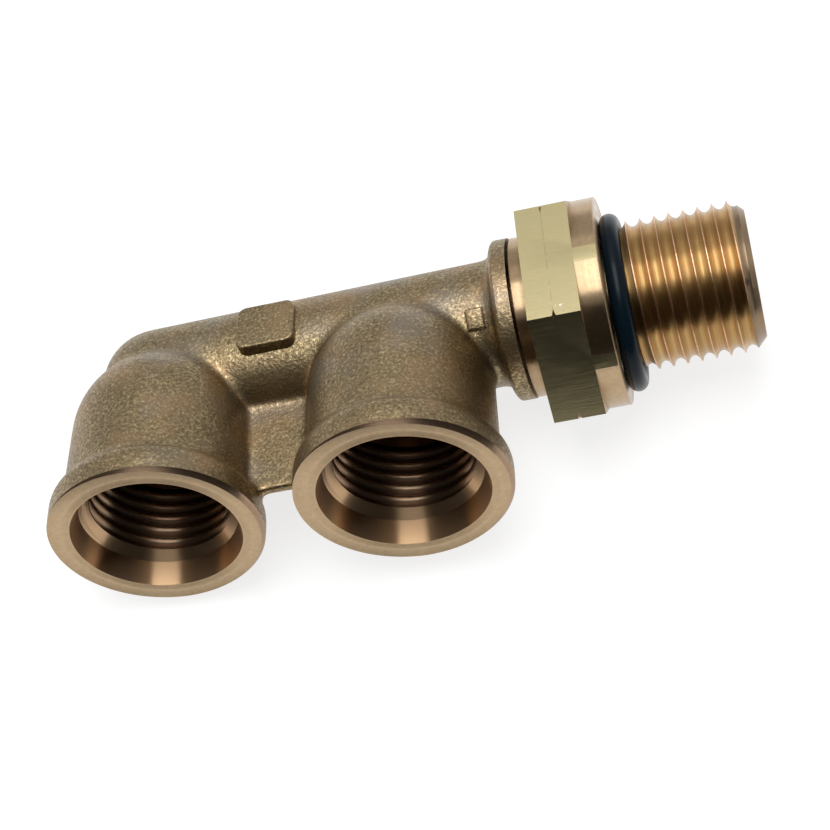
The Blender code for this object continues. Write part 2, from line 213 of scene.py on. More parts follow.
def revolve(bm: bmesh.types.BMesh, profile: Profile, steps: int,
            turn: Matrix | None = None, closed: bool = False) -> None:
    """Spin a profile about X into a closed skin.

    Args:
        bm: takes the skin.
        profile: points along the axis and out from it.
        steps: how many segments go round.
        turn: moves the skin afterwards.
        closed: joins the last point to the first, for a ring.
    """
    spun = bmesh.new()
    verts = [spun.verts.new((along, radius, 0.0)) for along, radius in profile]
    edges = [spun.edges.new(pair) for pair in zip(verts, verts[1:])]
    if closed:
        edges.append(spun.edges.new((verts[-1], verts[0])))
    bmesh.ops.spin(spun, geom=verts + edges, axis=(1, 0, 0), cent=(0, 0, 0),
                   steps=steps, angle=math.tau, use_merge=True)
    bmesh.ops.remove_doubles(spun, verts=spun.verts, dist=MERGE_GAP)
    bmesh.ops.recalc_face_normals(spun, faces=spun.faces)
    if turn is not None:
        bmesh.ops.transform(spun, matrix=turn, verts=spun.verts)
    piece = bpy.data.meshes.new("spun")
    spun.to_mesh(piece)
    spun.free()
    bm.from_mesh(piece)
    bpy.data.meshes.remove(piece)


def add_block(bm: bmesh.types.BMesh, centre: Sequence[float], size: Sequence[float],
              turn: Matrix | None = None) -> list[bmesh.types.BMVert]:
    """Add a rectangular block.

    Args:
        bm: takes the block.
        centre: its middle.
        size: its three lengths.
        turn: moves the block afterwards.

    Returns:
        Its corners.
    """
    place = Matrix.Translation(centre) @ Matrix.Diagonal((*size, 1.0))
    if turn is not None:
        place = turn @ place
    return bmesh.ops.create_cube(bm, size=1.0, matrix=place)["verts"]


def round_edges(bm: bmesh.types.BMesh, edges: list[bmesh.types.BMEdge], radius: float,
                steps: int) -> None:
    """Round some edges.

    Args:
        bm: the mesh that they belong to.
        edges: the edges.
        radius: how far the rounding reaches.
        steps: how many chords it has.
    """
    bmesh.ops.bevel(bm, geom=edges, offset=radius, segments=steps, profile=0.5,
                    affect="EDGES")


def new_object(name: str, bm: bmesh.types.BMesh) -> Object:
    """Turn a bmesh into an object of the scene, and free it.

    Args:
        name: the object's name.
        bm: its mesh.

    Returns:
        The object.
    """
    mesh = bpy.data.meshes.new(name)
    bm.to_mesh(mesh)
    bm.free()
    thing = bpy.data.objects.new(name, mesh)
    bpy.context.scene.collection.objects.link(thing)
    return thing


def settle(thing: Object) -> None:
    """Put what an object's modifiers make in the place of its mesh.

    Args:
        thing: a mesh object.
    """
    graph = bpy.context.evaluated_depsgraph_get()
    made = bpy.data.meshes.new_from_object(thing.evaluated_get(graph), depsgraph=graph)
    old = thing.data
    thing.modifiers.clear()
    thing.data = made
    made.name = thing.name
    bpy.data.meshes.remove(old)


def cut(thing: Object, tool: Object, how: Cut) -> None:
    """Add, take or keep a tool's shape, and delete the tool.

    Args:
        thing: the object that changes.
        tool: a closed shape.
        how: what is done with it.
    """
    step = thing.modifiers.new(how.name.lower(), "BOOLEAN")
    step.operation = how.value
    step.solver = "MANIFOLD"
    step.object = tool
    settle(thing)
    bpy.data.objects.remove(tool, do_unlink=True)


def close_ends(thing: Object) -> None:
    """Close each open rim of a mesh with a fan to the X axis.

    Args:
        thing: a mesh object with two open rims round X.
    """
    bm = bmesh.new()
    bm.from_mesh(thing.data)
    open_edges = [edge for edge in bm.edges if edge.is_boundary]
    middle = sum(edge.verts[0].co.x for edge in open_edges) / len(open_edges)
    for side in (-1, 1):
        rim = [edge for edge in open_edges
               if (edge.verts[0].co.x + edge.verts[1].co.x - 2 * middle) * side > 0]
        heart = sum(edge.verts[0].co.x for edge in rim) / len(rim)
        hub = bm.verts.new((heart, 0.0, 0.0))
        for edge in rim:
            bm.faces.new((edge.verts[0], edge.verts[1], hub))
    bmesh.ops.recalc_face_normals(bm, faces=bm.faces)
    bm.to_mesh(thing.data)
    bm.free()


def dress(thing: Object, finishes: Iterable[Material], zone: Zone) -> None:
    """Give an object the list of finishes and set every face to one zone.

    Args:
        thing: a mesh object.
        finishes: one material for each zone, in order.
        zone: the zone of all its faces.
    """
    thing.data.materials.clear()
    for finish in finishes:
        thing.data.materials.append(finish)
    thing.data.polygons.foreach_set("material_index",
                                    [int(zone)] * len(thing.data.polygons))
    thing.data.update()


def smooth(thing: Object, angle: float = 28.0) -> None:
    """Shade smooth, with sharp edges above an angle in degrees."""
    thing.data.shade_smooth()
    thing.data.set_sharp_from_angle(angle=math.radians(angle))


class TreeCraft:
    """Short ways to lay nodes in one tree."""

    def __init__(self, tree: bpy.types.NodeTree) -> None:
        """Take the tree that the nodes are laid in."""
        self.nodes = tree.nodes
        self.links = tree.links

    def put(self, target: NodeSocket, value: Feed) -> None:
        """Give a socket a number, a vector, a colour or another node's socket.

        Args:
            target: the socket.
            value: what it gets.
        """
        if isinstance(value, NodeSocket):
            self.links.new(value, target)
        elif target.type == "RGBA":
            target.default_value = (*value, 1.0)
        else:
            target.default_value = value

    def feed(self, node: bpy.types.Node, feeds: dict[int | str, Feed]) -> bpy.types.Node:
        """Fill a node's inputs.

        Args:
            node: the node.
            feeds: what each input gets.

        Returns:
            The same node.
        """
        for label, value in feeds.items():
            self.put(node.inputs[label], value)
        return node

    def add(self, kind: str, feeds: dict[int | str, Feed]) -> NodeSocket:
        """Add a node with its inputs filled, and give its first output."""
        return self.feed(self.nodes.new(kind), feeds).outputs[0]

    def math(self, operation: str, first: Feed, second: Feed = 0.0) -> NodeSocket:
        """Add a Math node.

        Args:
            operation: what it works out.
            first: the first operand.
            second: the second one, where it has two.

        Returns:
            The result.
        """
        node = self.feed(self.nodes.new("ShaderNodeMath"), {0: first, 1: second})
        node.operation = operation
        return node.outputs[0]

    def join(self, x: Feed, y: Feed, z: Feed) -> NodeSocket:
        """Make a vector of three values."""
        return self.add("ShaderNodeCombineXYZ", {"X": x, "Y": y, "Z": z})

    def split(self, vector: NodeSocket) -> tuple[NodeSocket, ...]:
        """Give a vector's three values."""
        return tuple(self.feed(self.nodes.new("ShaderNodeSeparateXYZ"), {0: vector}).outputs)


class SizedTree(TreeCraft):
    """A Geometry Nodes tree with named inputs for its sizes and its finish."""

    def __init__(self, name: str, sizes: dict[str, str]) -> None:
        """Start the tree.

        Args:
            name: the tree's name.
            sizes: the label and the kind of each size.
        """
        self.group = bpy.data.node_groups.new(name, "GeometryNodeTree")
        super().__init__(self.group)
        face = self.group.interface
        self.inputs: dict[str, str] = {}
        for label, kind in {**sizes, "Finish": "Material"}.items():
            socket = face.new_socket(label, in_out="INPUT",
                                     socket_type="NodeSocket" + kind)
            self.inputs[label] = socket.identifier
        face.new_socket("Geometry", in_out="OUTPUT", socket_type="NodeSocketGeometry")
        self.given = self.nodes.new("NodeGroupInput").outputs

    def end(self, shape: NodeSocket) -> None:
        """End the tree with Realize Instances and Set Material.

        Args:
            shape: what the tree has made.
        """
        real = self.add("GeometryNodeRealizeInstances", {0: shape})
        dressed = self.add("GeometryNodeSetMaterial", {
            "Geometry": real, "Material": self.given["Finish"]})
        self.feed(self.nodes.new("NodeGroupOutput"), {0: dressed})

    def run(self, thing: Object, values: dict[str, float | Material]) -> None:
        """Run the tree on an object and keep what it makes as a plain mesh.

        Args:
            thing: the object.
            values: what each of the tree's inputs gets.
        """
        step = thing.modifiers.new(self.group.name, "NODES")
        step.node_group = self.group
        for label, value in values.items():
            step[self.inputs[label]] = value
        settle(thing)


class ThreadTree(SizedTree):
    """Geometry Nodes that wind a grid into a helical thread strip."""

    def __init__(self) -> None:
        """Build the tree: a grid's one side runs along the helix, the other across it."""
        super().__init__("helical_thread", {
            "Turns": "Float", "Pitch": "Float", "Crest": "Float", "Depth": "Float",
            "Roundness": "Float", "Start": "Float", "Turn Vertices": "Int",
            "Form Vertices": "Int"})
        given = self.given
        grid = self.add("GeometryNodeMeshGrid", {
            "Size X": given["Turns"], "Size Y": 1.0,
            "Vertices X": given["Turn Vertices"], "Vertices Y": given["Form Vertices"]})
        x, y, _ = self.split(self.add("GeometryNodeInputPosition", {}))
        turns = self.math("ADD", x, self.math("DIVIDE", given["Turns"], 2.0))
        across = self.math("ADD", y, 0.5)
        wave = self.math("SINE", self.math("MULTIPLY", across, math.pi))
        wave = self.math("POWER", self.math("MAXIMUM", wave, 0.0), given["Roundness"])
        radius = self.math("SUBTRACT", given["Crest"],
                           self.math("MULTIPLY", wave, given["Depth"]))
        angle = self.math("MULTIPLY", turns, math.tau)
        along = self.math("ADD", given["Start"],
                          self.math("MULTIPLY", given["Pitch"],
                                    self.math("ADD", turns, across)))
        place = self.join(along,
                          self.math("MULTIPLY", radius, self.math("COSINE", angle)),
                          self.math("MULTIPLY", radius, self.math("SINE", angle)))
        wound = self.add("GeometryNodeSetPosition", {"Geometry": grid, "Position": place})
        self.end(self.add("GeometryNodeMergeByDistance", {
            "Geometry": wound, "Distance": WELD_GAP}))


class RingTree(SizedTree):
    """Geometry Nodes that sweep a round section along an arc, for seals and wire."""

    def __init__(self) -> None:
        """Build the tree; an opening of nothing leaves a closed ring."""
        super().__init__("swept_ring", {
            "Radius": "Float", "Section": "Float", "Opening": "Float",
            "Ring Steps": "Int", "Section Steps": "Int"})
        given = self.given
        path = self.add("GeometryNodeCurveArc", {
            "Resolution": given["Ring Steps"], "Radius": given["Radius"],
            "Sweep Angle": self.math("SUBTRACT", math.tau, given["Opening"])})
        section = self.add("GeometryNodeCurvePrimitiveCircle", {
            "Resolution": given["Section Steps"], "Radius": given["Section"]})
        self.end(self.add("GeometryNodeCurveToMesh", {
            "Curve": path, "Profile Curve": section, "Fill Caps": True}))


@dataclass(frozen=True)
class ThreadForm:
    """A screw thread as a helical strip.

    Attributes:
        pitch: distance between crests.
        crest: radius at the crests.
        depth: how much deeper the roots lie.
        roundness: below 1 the crests are sharp and the roots round.
        turn_steps: chords of a turn.
        form_steps: chords from crest to crest.
    """

    pitch: float
    crest: float
    depth: float
    roundness: float
    turn_steps: int
    form_steps: int

    def rod(self, name: str, start: float, end: float, tree: ThreadTree,
            finish: Material) -> Object:
        """Make a closed threaded rod along +X.

        Args:
            name: the rod's name.
            start: where the thread's first crest is.
            end: a place that the thread reaches past.
            tree: the nodes that wind it.
            finish: its material.

        Returns:
            The rod, as a plain mesh.
        """
        turns = math.ceil((end - start) / self.pitch)
        rod = new_object(name, bmesh.new())
        tree.run(rod, {
            "Turns": float(turns), "Pitch": self.pitch, "Crest": self.crest,
            "Depth": self.depth, "Roundness": self.roundness, "Start": start,
            "Turn Vertices": turns * self.turn_steps + 1,
            "Form Vertices": self.form_steps + 1, "Finish": finish})
        close_ends(rod)
        return rod


@dataclass(frozen=True)
class Spots:
    """Small marks that handling has left, with ragged edges.

    Attributes:
        places: where they are in the square frame.
        reach: how far each one reaches.
        colour: the brass inside them.
        core: share of the reach that is fully coloured.
        ragged: how a noise moves the edge.
    """

    places: tuple[Triple, ...]
    reach: float
    colour: Triple
    core: float = 0.75
    ragged: Fade = Fade(*NOISE_SPAN, 0.6, 1.6)


class FinishCraft(TreeCraft):
    """Short ways to lay the shader nodes of one finish."""

    def __init__(self, name: str) -> None:
        """Start a material with its Principled BSDF.

        Args:
            name: the material's name.
        """
        self.material = bpy.data.materials.new(name)
        self.material.use_nodes = True
        super().__init__(self.material.node_tree)

    def shade(self, **values: Feed) -> Material:
        """Fill the shader's inputs, whose words are joined by underscores.

        Args:
            **values: what each input gets.

        Returns:
            The finished material.
        """
        self.feed(self.nodes["Principled BSDF"],
                  {label.replace("_", " "): value for label, value in values.items()})
        return self.material

    def vector(self, operation: str, first: Feed, second: Feed = (0.0, 0.0, 0.0)
               ) -> NodeSocket:
        """Add a Vector Math node.

        Args:
            operation: what it works out.
            first: the first vector.
            second: the second one, where it has two.

        Returns:
            The result: a number for a length, or else a vector.
        """
        node = self.feed(self.nodes.new("ShaderNodeVectorMath"), {0: first, 1: second})
        node.operation = operation
        return node.outputs["Value" if operation == "LENGTH" else "Vector"]

    def place(self, frame: SquareFrame) -> NodeSocket:
        """Turn object coordinates into the fitting's square frame.

        Args:
            frame: the square frame.

        Returns:
            The place of the shaded point.
        """
        back = frame.matrix.inverted()
        read = self.nodes.new("ShaderNodeTexCoord").outputs["Object"]
        return self.add("ShaderNodeMapping", {
            "Vector": read, "Location": back.to_translation(),
            "Rotation": back.to_euler()})

    def noise(self, vector: NodeSocket, pattern: Pattern) -> NodeSocket:
        """Add a noise texture.

        Args:
            vector: where it is read.
            pattern: how it looks.

        Returns:
            Its value.
        """
        return self.add("ShaderNodeTexNoise", {
            "Vector": vector, "Scale": pattern.per_mm / MM, "Detail": pattern.detail,
            "Roughness": pattern.roughness})

    def fade(self, value: NodeSocket, over: Fade) -> NodeSocket:
        """Map a range of a value onto another, clamped."""
        return self.add("ShaderNodeMapRange", dict(enumerate((value, *over))))

    def blend(self, share: Feed, first: Feed, second: Feed) -> NodeSocket:
        """Mix two colours.

        Args:
            share: how much of the second there is.
            first: the first colour.
            second: the second one.

        Returns:
            The mixed colour.
        """
        node = self.nodes.new("ShaderNodeMix")
        node.data_type = "RGBA"
        return self.feed(node, {"Factor": share, 6: first, 7: second}).outputs[2]

    def blend_value(self, share: Feed, first: Feed, second: Feed) -> NodeSocket:
        """Mix two numbers."""
        return self.add("ShaderNodeMix", {"Factor": share, 2: first, 3: second})

    def spot(self, tone: NodeSocket, place: NodeSocket, noise: NodeSocket,
             spots: Spots) -> NodeSocket:
        """Colour small ragged marks.

        Args:
            tone: the colour without them.
            place: the place of the shaded point.
            noise: what makes their edges ragged.
            spots: the marks.

        Returns:
            The colour with them.
        """
        inside = Fade(spots.reach, spots.core * spots.reach)
        for middle in spots.places:
            gap = self.vector("LENGTH", self.vector("SUBTRACT", place, middle))
            gap = self.math("MULTIPLY", gap, self.fade(noise, spots.ragged))
            tone = self.blend(self.fade(gap, inside), tone, spots.colour)
        return tone

    def bump(self, height: NodeSocket, depth: float,
             under: NodeSocket | None = None) -> NodeSocket:
        """Add a Bump node.

        Args:
            height: the relief.
            depth: its real depth.
            under: the normal of a coarser relief below it.

        Returns:
            The new normal.
        """
        feeds = {"Strength": 1.0, "Distance": depth, "Height": height}
        if under is not None:
            feeds["Normal"] = under
        return self.add("ShaderNodeBump", feeds)


@dataclass(frozen=True)
class ForgedBrass:
    """Matt brass as it leaves the forging die and the sand blast."""

    colour: Triple = (0.325, 0.25, 0.138)
    dark: Triple = (0.165, 0.12, 0.067)
    bright: Triple = (0.54, 0.43, 0.25)
    ruddy: Triple = (0.36, 0.235, 0.13)
    grey: Triple = (0.27, 0.235, 0.195)
    roughness: Fade = Fade(*NOISE_SPAN, 0.52, 0.34)
    grain: Pattern = Pattern(1 / 0.3, 3.0, 0.6)
    grain_depth: float = 0.05 * MM
    dimple: Pattern = Pattern(1 / 0.75)
    dimple_depth: float = 0.05 * MM
    cloud: Pattern = Pattern(0.22, 3.0, 0.6)
    drift: Pattern = Pattern(0.14)
    drift_shift: Triple = (0.31, 0.17, 0.05)
    pale_grains: Fade = Fade(0.34, 0.6)
    bright_grains: Fade = Fade(0.56, 0.72)
    ruddy_clouds: Fade = Fade(0.46, 0.7, 0.0, 0.75)
    grey_drifts: Fade = Fade(0.5, 0.72, 0.0, 0.7)

    def make(self, frame: SquareFrame) -> Material:
        """Lay the nodes.

        Args:
            frame: the fitting's square frame.

        Returns:
            The material.
        """
        craft = FinishCraft("forged_brass")
        place = craft.place(frame)
        clouds = craft.noise(place, self.cloud)
        dimples = craft.noise(place, self.dimple)
        grains = craft.noise(place, self.grain)
        drifts = craft.noise(craft.vector("ADD", place, self.drift_shift), self.drift)
        tone = craft.blend(craft.fade(grains, self.pale_grains), self.dark, self.colour)
        tone = craft.blend(craft.fade(clouds, self.ruddy_clouds), tone, self.ruddy)
        tone = craft.blend(craft.fade(drifts, self.grey_drifts), tone, self.grey)
        tone = craft.blend(craft.fade(grains, self.bright_grains), tone, self.bright)
        low = craft.bump(dimples, self.dimple_depth)
        return craft.shade(Base_Color=tone, Roughness=craft.fade(grains, self.roughness),
                           Normal=craft.bump(grains, self.grain_depth, low), Metallic=1.0)


@dataclass(frozen=True)
class TurnedBrass:
    """Bright brass with the circumferential marks of a lathe or a facing tool.

    Attributes:
        name: the material's name.
        port_spacing: distance between the ports that the marks go round, or nothing
            where they go round the run.
        roughness_play: share by which broad bands are duller or glossier.
        lines: how strong fine warm and cool lines are.
        recess: radii between which the recess's gloss and a painted shade, darker and redder,
            set in.
        crest: radii between which a painted highlight brightens the thread's crests.
        sunk: depths between which painted shade darkens the inside of the hole.
        dull: places along the axis between which a dull end begins.
        dings: bright marks.
        pits: dark marks.
    """

    name: str
    port_spacing: float = 0.0
    colour: Triple = (0.48, 0.345, 0.205)
    speck_tint: Triple = (0.72, 0.72, 0.72)
    roughness: float = 0.33
    roughness_play: float = 0.2
    anisotropy: float = 0.95
    mark: Pattern = Pattern(1 / 0.16, 4.0, 0.65)
    mark_depth: float = 0.006 * MM
    band: Pattern = Pattern(0.25 / 0.16)
    speck: Pattern = Pattern(2.4, 3.0, 0.6)
    dark_specks: Fade = Fade(0.35, 0.65, 0.55, 1.0)
    lines: float = 0.0
    line: Pattern = Pattern(0.8 / 0.16, 3.0, 0.7)
    line_shift: float = 0.1
    warm_lines: Fade = Fade(0.35, 0.65)
    warm_tint: Triple = (1.3, 1.0, 0.95)
    cool_tint: Triple = (0.75, 0.85, 0.7)
    recess: Fade | None = None
    recess_shade_tint: Triple = (1.0, 0.92, 0.89)
    recess_gloss: float = 0.85
    crest: Fade | None = None
    crest_highlight_colour: Triple = (0.82, 0.53, 0.37)
    crest_specks: Fade = Fade(0.3, 0.6, 0.35, 1.0)
    sunk: Fade | None = None
    sunk_shade_colour: Triple = (0.05, 0.03, 0.028)
    dull: Fade | None = None
    dull_colour: Triple = (0.25, 0.185, 0.125)
    dings: Spots | None = None
    pits: Spots | None = None

    def make(self, frame: SquareFrame) -> Material:
        """Lay the nodes.

        Args:
            frame: the fitting's square frame.

        Returns:
            The material.
        """
        craft = FinishCraft(self.name)
        place = craft.place(frame)
        out, along, round_way = self._ways(craft, place)
        pair = craft.join(out, along, 0.0)
        marks = craft.noise(pair, self.mark)
        specks = craft.noise(place, self.speck)
        duller = Fade(*NOISE_SPAN, self.roughness * (1 - self.roughness_play),
                      self.roughness * (1 + self.roughness_play))
        gloss = craft.fade(craft.noise(pair, self.band), duller)
        tone = craft.blend(craft.fade(specks, self.dark_specks),
                           tinted(self.colour, self.speck_tint), self.colour)
        if self.recess:
            inside = craft.fade(out, self.recess)
            # Painted shade: the recess's wall and floor are tinted darker and redder.
            tone = craft.blend(inside, tone, tinted(self.colour, self.recess_shade_tint))
            gloss = craft.blend_value(inside, gloss, self.roughness * self.recess_gloss)
        if self.lines:
            lines = craft.noise(craft.join(out, along, self.line_shift), self.line)
            hue = craft.blend(craft.fade(lines, self.warm_lines),
                              tinted(self.colour, self.cool_tint),
                              tinted(self.colour, self.warm_tint))
            tone = craft.blend(self.lines, tone, hue)
        if self.crest:
            # Painted highlight: the thread's crests are coloured a brighter pink, broken up by
            # specks.
            worn = craft.math("MULTIPLY", craft.fade(out, self.crest),
                              craft.fade(specks, self.crest_specks))
            tone = craft.blend(worn, tone, self.crest_highlight_colour)
        if self.sunk:
            # Painted shade: the inside gets darker the deeper it lies in the hole.
            deep = craft.fade(craft.math("MULTIPLY", along, -1.0), self.sunk)
            tone = craft.blend(deep, tone, self.sunk_shade_colour)
        if self.dull:
            tone = craft.blend(craft.fade(along, self.dull), tone, self.dull_colour)
        if self.dings:
            tone = craft.spot(tone, place, specks, self.dings)
        if self.pits:
            tone = craft.spot(tone, place, marks, self.pits)
        return craft.shade(Base_Color=tone, Roughness=gloss,
                           Normal=craft.bump(marks, self.mark_depth),
                           Tangent=self._comb(craft, frame, round_way),
                           Metallic=1.0, Anisotropic=self.anisotropy)

    def _ways(self, craft: FinishCraft, place: NodeSocket) -> tuple[NodeSocket, ...]:
        """Find how a point lies about the axis that the marks go round.

        Args:
            craft: lays the nodes.
            place: the place of the shaded point.

        Returns:
            Its distance from the axis, its place along it and the way round it.
        """
        x, y, z = craft.split(place)
        if self.port_spacing:
            half = self.port_spacing / 2
            offset = craft.math("SUBTRACT", x, half)
            across = craft.math("SUBTRACT", craft.math("ABSOLUTE", offset), half)
            along = y
            round_way = craft.join(craft.math("MULTIPLY", z, -1.0), 0.0, craft.math(
                "MULTIPLY", across, craft.math("SIGN", offset)))
        else:
            across = y
            along = x
            round_way = craft.join(0.0, craft.math("MULTIPLY", z, -1.0), y)
        out = craft.math("SQRT", craft.math("ADD", craft.math("MULTIPLY", across, across),
                                            craft.math("MULTIPLY", z, z)))
        return out, along, round_way

    def _comb(self, craft: FinishCraft, frame: SquareFrame, round_way: NodeSocket
              ) -> NodeSocket:
        """Stretch highlights across the marks, which run round the axis.

        Args:
            craft: lays the nodes.
            frame: the fitting's square frame.
            round_way: the way round the axis, in the square frame.

        Returns:
            The tangent of the shaded point.
        """
        turn = craft.nodes.new("ShaderNodeMapping")
        turn.vector_type = "NORMAL"
        craft.feed(turn, {"Rotation": frame.matrix.to_euler(), "Vector": round_way})
        world = craft.nodes.new("ShaderNodeVectorTransform")
        world.vector_type = "VECTOR"
        world.convert_from = "OBJECT"
        world.convert_to = "WORLD"
        craft.feed(world, {0: turn.outputs[0]})
        normal = craft.nodes.new("ShaderNodeNewGeometry").outputs["Normal"]
        across = craft.vector("CROSS_PRODUCT", normal, world.outputs[0])
        return craft.vector("NORMALIZE", across)


@dataclass(frozen=True)
class DrawnBrass:
    """Hexagon bar as drawn: pale, with streaks along the bar and a scribed line."""

    colour: Triple = (0.445, 0.385, 0.215)
    dark: Triple = (0.365, 0.31, 0.165)
    roughness: Fade = Fade(*NOISE_SPAN, 0.25, 0.15)
    streak: Pattern = Pattern(1 / 0.16, 4.0, 0.65)
    streak_stretch: Triple = (0.025, 1.0, 1.0)
    streak_depth: float = 0.002 * MM
    speck: Pattern = Pattern(3.5, 2.0, 0.6)
    scribe_x: float = 44.2 * MM
    scribe: Fade = Fade(0.055 * MM, 0.0275 * MM)
    scribe_colour: Triple = (0.2, 0.16, 0.09)
    dash: Pattern = Pattern(1.1, 1.0)
    dashes: Fade = Fade(0.42, 0.52, 0.0, 0.45)
    dings: Spots = Spots(in_mm((43.77, -7.5, 9.89), (44.39, -7.34, 10.0),
                               (45.1, -7.84, 9.6), (44.4, -7.9, 9.56)),
                         reach=0.27 * MM, colour=(1.0, 0.95, 0.86))

    def make(self, frame: SquareFrame) -> Material:
        """Lay the nodes.

        Args:
            frame: the fitting's square frame.

        Returns:
            The material.
        """
        craft = FinishCraft("drawn_brass")
        place = craft.place(frame)
        streaks = craft.noise(craft.vector("MULTIPLY", place, self.streak_stretch),
                              self.streak)
        tone = craft.blend(craft.fade(streaks, Fade(*NOISE_SPAN)), self.dark, self.colour)
        off = craft.math("ABSOLUTE", craft.math(
            "SUBTRACT", craft.split(place)[0], self.scribe_x))
        scribed = craft.math("MULTIPLY", craft.fade(craft.noise(place, self.dash), self.dashes),
                             craft.fade(off, self.scribe))
        tone = craft.blend(scribed, tone, self.scribe_colour)
        tone = craft.spot(tone, place, craft.noise(place, self.speck), self.dings)
        return craft.shade(Base_Color=tone, Roughness=craft.fade(streaks, self.roughness),
                           Normal=craft.bump(streaks, self.streak_depth), Metallic=1.0)


@dataclass(frozen=True)
class Rubber:
    """Satin black nitrile rubber."""

    colour: Triple = (0.002, 0.007, 0.012)
    roughness: Fade = Fade(*NOISE_SPAN, 0.2, 0.32)
    specular: float = 0.13
    skin: Pattern = Pattern(6.0, 3.0, 0.6)
    skin_depth: float = 0.004 * MM

    def make(self, frame: SquareFrame) -> Material:
        """Lay the nodes.

        Args:
            frame: the fitting's square frame.

        Returns:
            The material.
        """
        craft = FinishCraft("seal_rubber")
        fine = craft.noise(craft.place(frame), self.skin)
        return craft.shade(Base_Color=self.colour, Roughness=craft.fade(fine, self.roughness),
                           Normal=craft.bump(fine, self.skin_depth), Metallic=0.0,
                           Specular_IOR_Level=self.specular)


@dataclass(frozen=True)
class SpringWire:
    """Drawn spring steel."""

    colour: Triple = (0.45, 0.45, 0.46)
    roughness: Fade = Fade(*NOISE_SPAN, 0.2, 0.3)
    skin: Pattern = Pattern(4.0, 3.0, 0.6)

    def make(self, frame: SquareFrame) -> Material:
        """Lay the nodes.

        Args:
            frame: the fitting's square frame.

        Returns:
            The material.
        """
        craft = FinishCraft("spring_steel")
        fine = craft.noise(craft.place(frame), self.skin)
        return craft.shade(Base_Color=self.colour, Roughness=craft.fade(fine, self.roughness),
                           Metallic=1.0)


@dataclass(frozen=True)
class RimSizes:
    """How a crisp rim is set into the softened forging.

    Attributes:
        reach: how far it runs back inside the skin.
        sunk: how deep it lies there.
        foot: how far below the skin its rise starts.
        allowance: what the facing cut takes off it.
    """

    reach: float
    sunk: float
    foot: float = 0.12 * MM
    allowance: float = 0.1 * MM


@dataclass(frozen=True)
class RunSizes:
    """Sizes of the forged run and its turned spigot."""

    radius: float = 6.75 * MM
    end_radius: float = 6.45 * MM
    bore_radius: float = 4.0 * MM
    end_overhang: float = 0.8 * MM
    flange_radius: float = 8.6 * MM
    flange_width: float = 1.35 * MM
    flange_shoulder: float = 0.75 * MM
    flange_cove: float = 0.6 * MM
    flange_break: float = 0.12 * MM
    flange_break_width: float = 0.25 * MM
    rim: RimSizes = RimSizes(reach=2.2 * MM, sunk=0.3 * MM)
    face_x: float = 39.6 * MM
    spigot_radius: float = 5.9 * MM
    spigot_length: float = 8.2 * MM
    spigot_chamfer: float = 0.4 * MM
    groove_half: float = 0.8 * MM
    groove_floor: float = 5.25 * MM
    wire_x: float = 42.7 * MM
    seal_x: float = 45.9 * MM
    seal_half: float = 1.0 * MM
    seal_floor: float = 4.95 * MM

    @property
    def end_x(self) -> float:
        """Where the spigot ends."""
        return self.face_x + self.spigot_length


@dataclass(frozen=True)
class PortSizes:
    """Sizes of a port: domed back, barrel, flared lip and threaded hole."""

    spacing: float = 26.3 * MM
    dome_radius: float = 9.8 * MM
    dome_depth: float = 7.8 * MM
    barrel_radius: float = 9.95 * MM
    mouth: float = 20.2 * MM
    lip_radius: float = 11.17 * MM
    lip_width: float = 1.9 * MM
    lip_shoulder: float = 1.8 * MM
    lip_cove: float = 0.6 * MM
    lip_crown: float = 1.0 * MM
    lip_crown_steps: int = 4
    lip_fall: float = 0.16 * MM
    lip_chamfer_radius: float = 11.0 * MM
    lip_chamfer_shift: tuple[float, float] = (-0.3 * MM, -0.14 * MM)
    rim: RimSizes = RimSizes(reach=4.0 * MM, sunk=0.5 * MM)
    recess_radius: float = 8.85 * MM
    recess_floor_radius: float = 8.2 * MM
    recess_depth: float = 2.55 * MM
    tapping_radius: float = 7.19 * MM
    tapping_depth: float = 14.4 * MM
    thread_start_turns: float = 1.2
    passage_radius: float = 4.6 * MM
    drill_angle: float = math.radians(118)

    @property
    def places(self) -> tuple[float, float]:
        """Where the ports are along the run."""
        return (0.0, self.spacing)


@dataclass(frozen=True)
class WebSizes:
    """Sizes of the web between the barrels."""

    root: float = 3.4 * MM
    edge: float = 1.2 * MM
    depth: float = 17.1 * MM


@dataclass(frozen=True)
class PadSizes:
    """Sizes of the bare raised pad."""

    centre_x: float = 13.35 * MM
    centre_y: float = -0.28 * MM
    length: float = 6.3 * MM
    width: float = 5.75 * MM
    height: float = 0.4 * MM
    corner: float = 1.0 * MM
    corner_steps: int = 8
    edge: float = 0.3 * MM
    edge_steps: int = 5


@dataclass(frozen=True)
class MarkSizes:
    """Sizes of the small patch beside the flange."""

    x: float = 35.6 * MM
    angle: float = math.radians(180 - 54)
    length: float = 1.95 * MM
    width: float = 2.3 * MM
    height: float = 0.4 * MM
    root: float = 1.0 * MM
    edge: float = 0.26 * MM
    edge_steps: int = 4


@dataclass(frozen=True)
class SkinSizes:
    """How finely the forging's skin is laid, and how far its corners melt."""

    voxel: float = 0.3 * MM
    passes: int = 26
    pull: float = 0.5


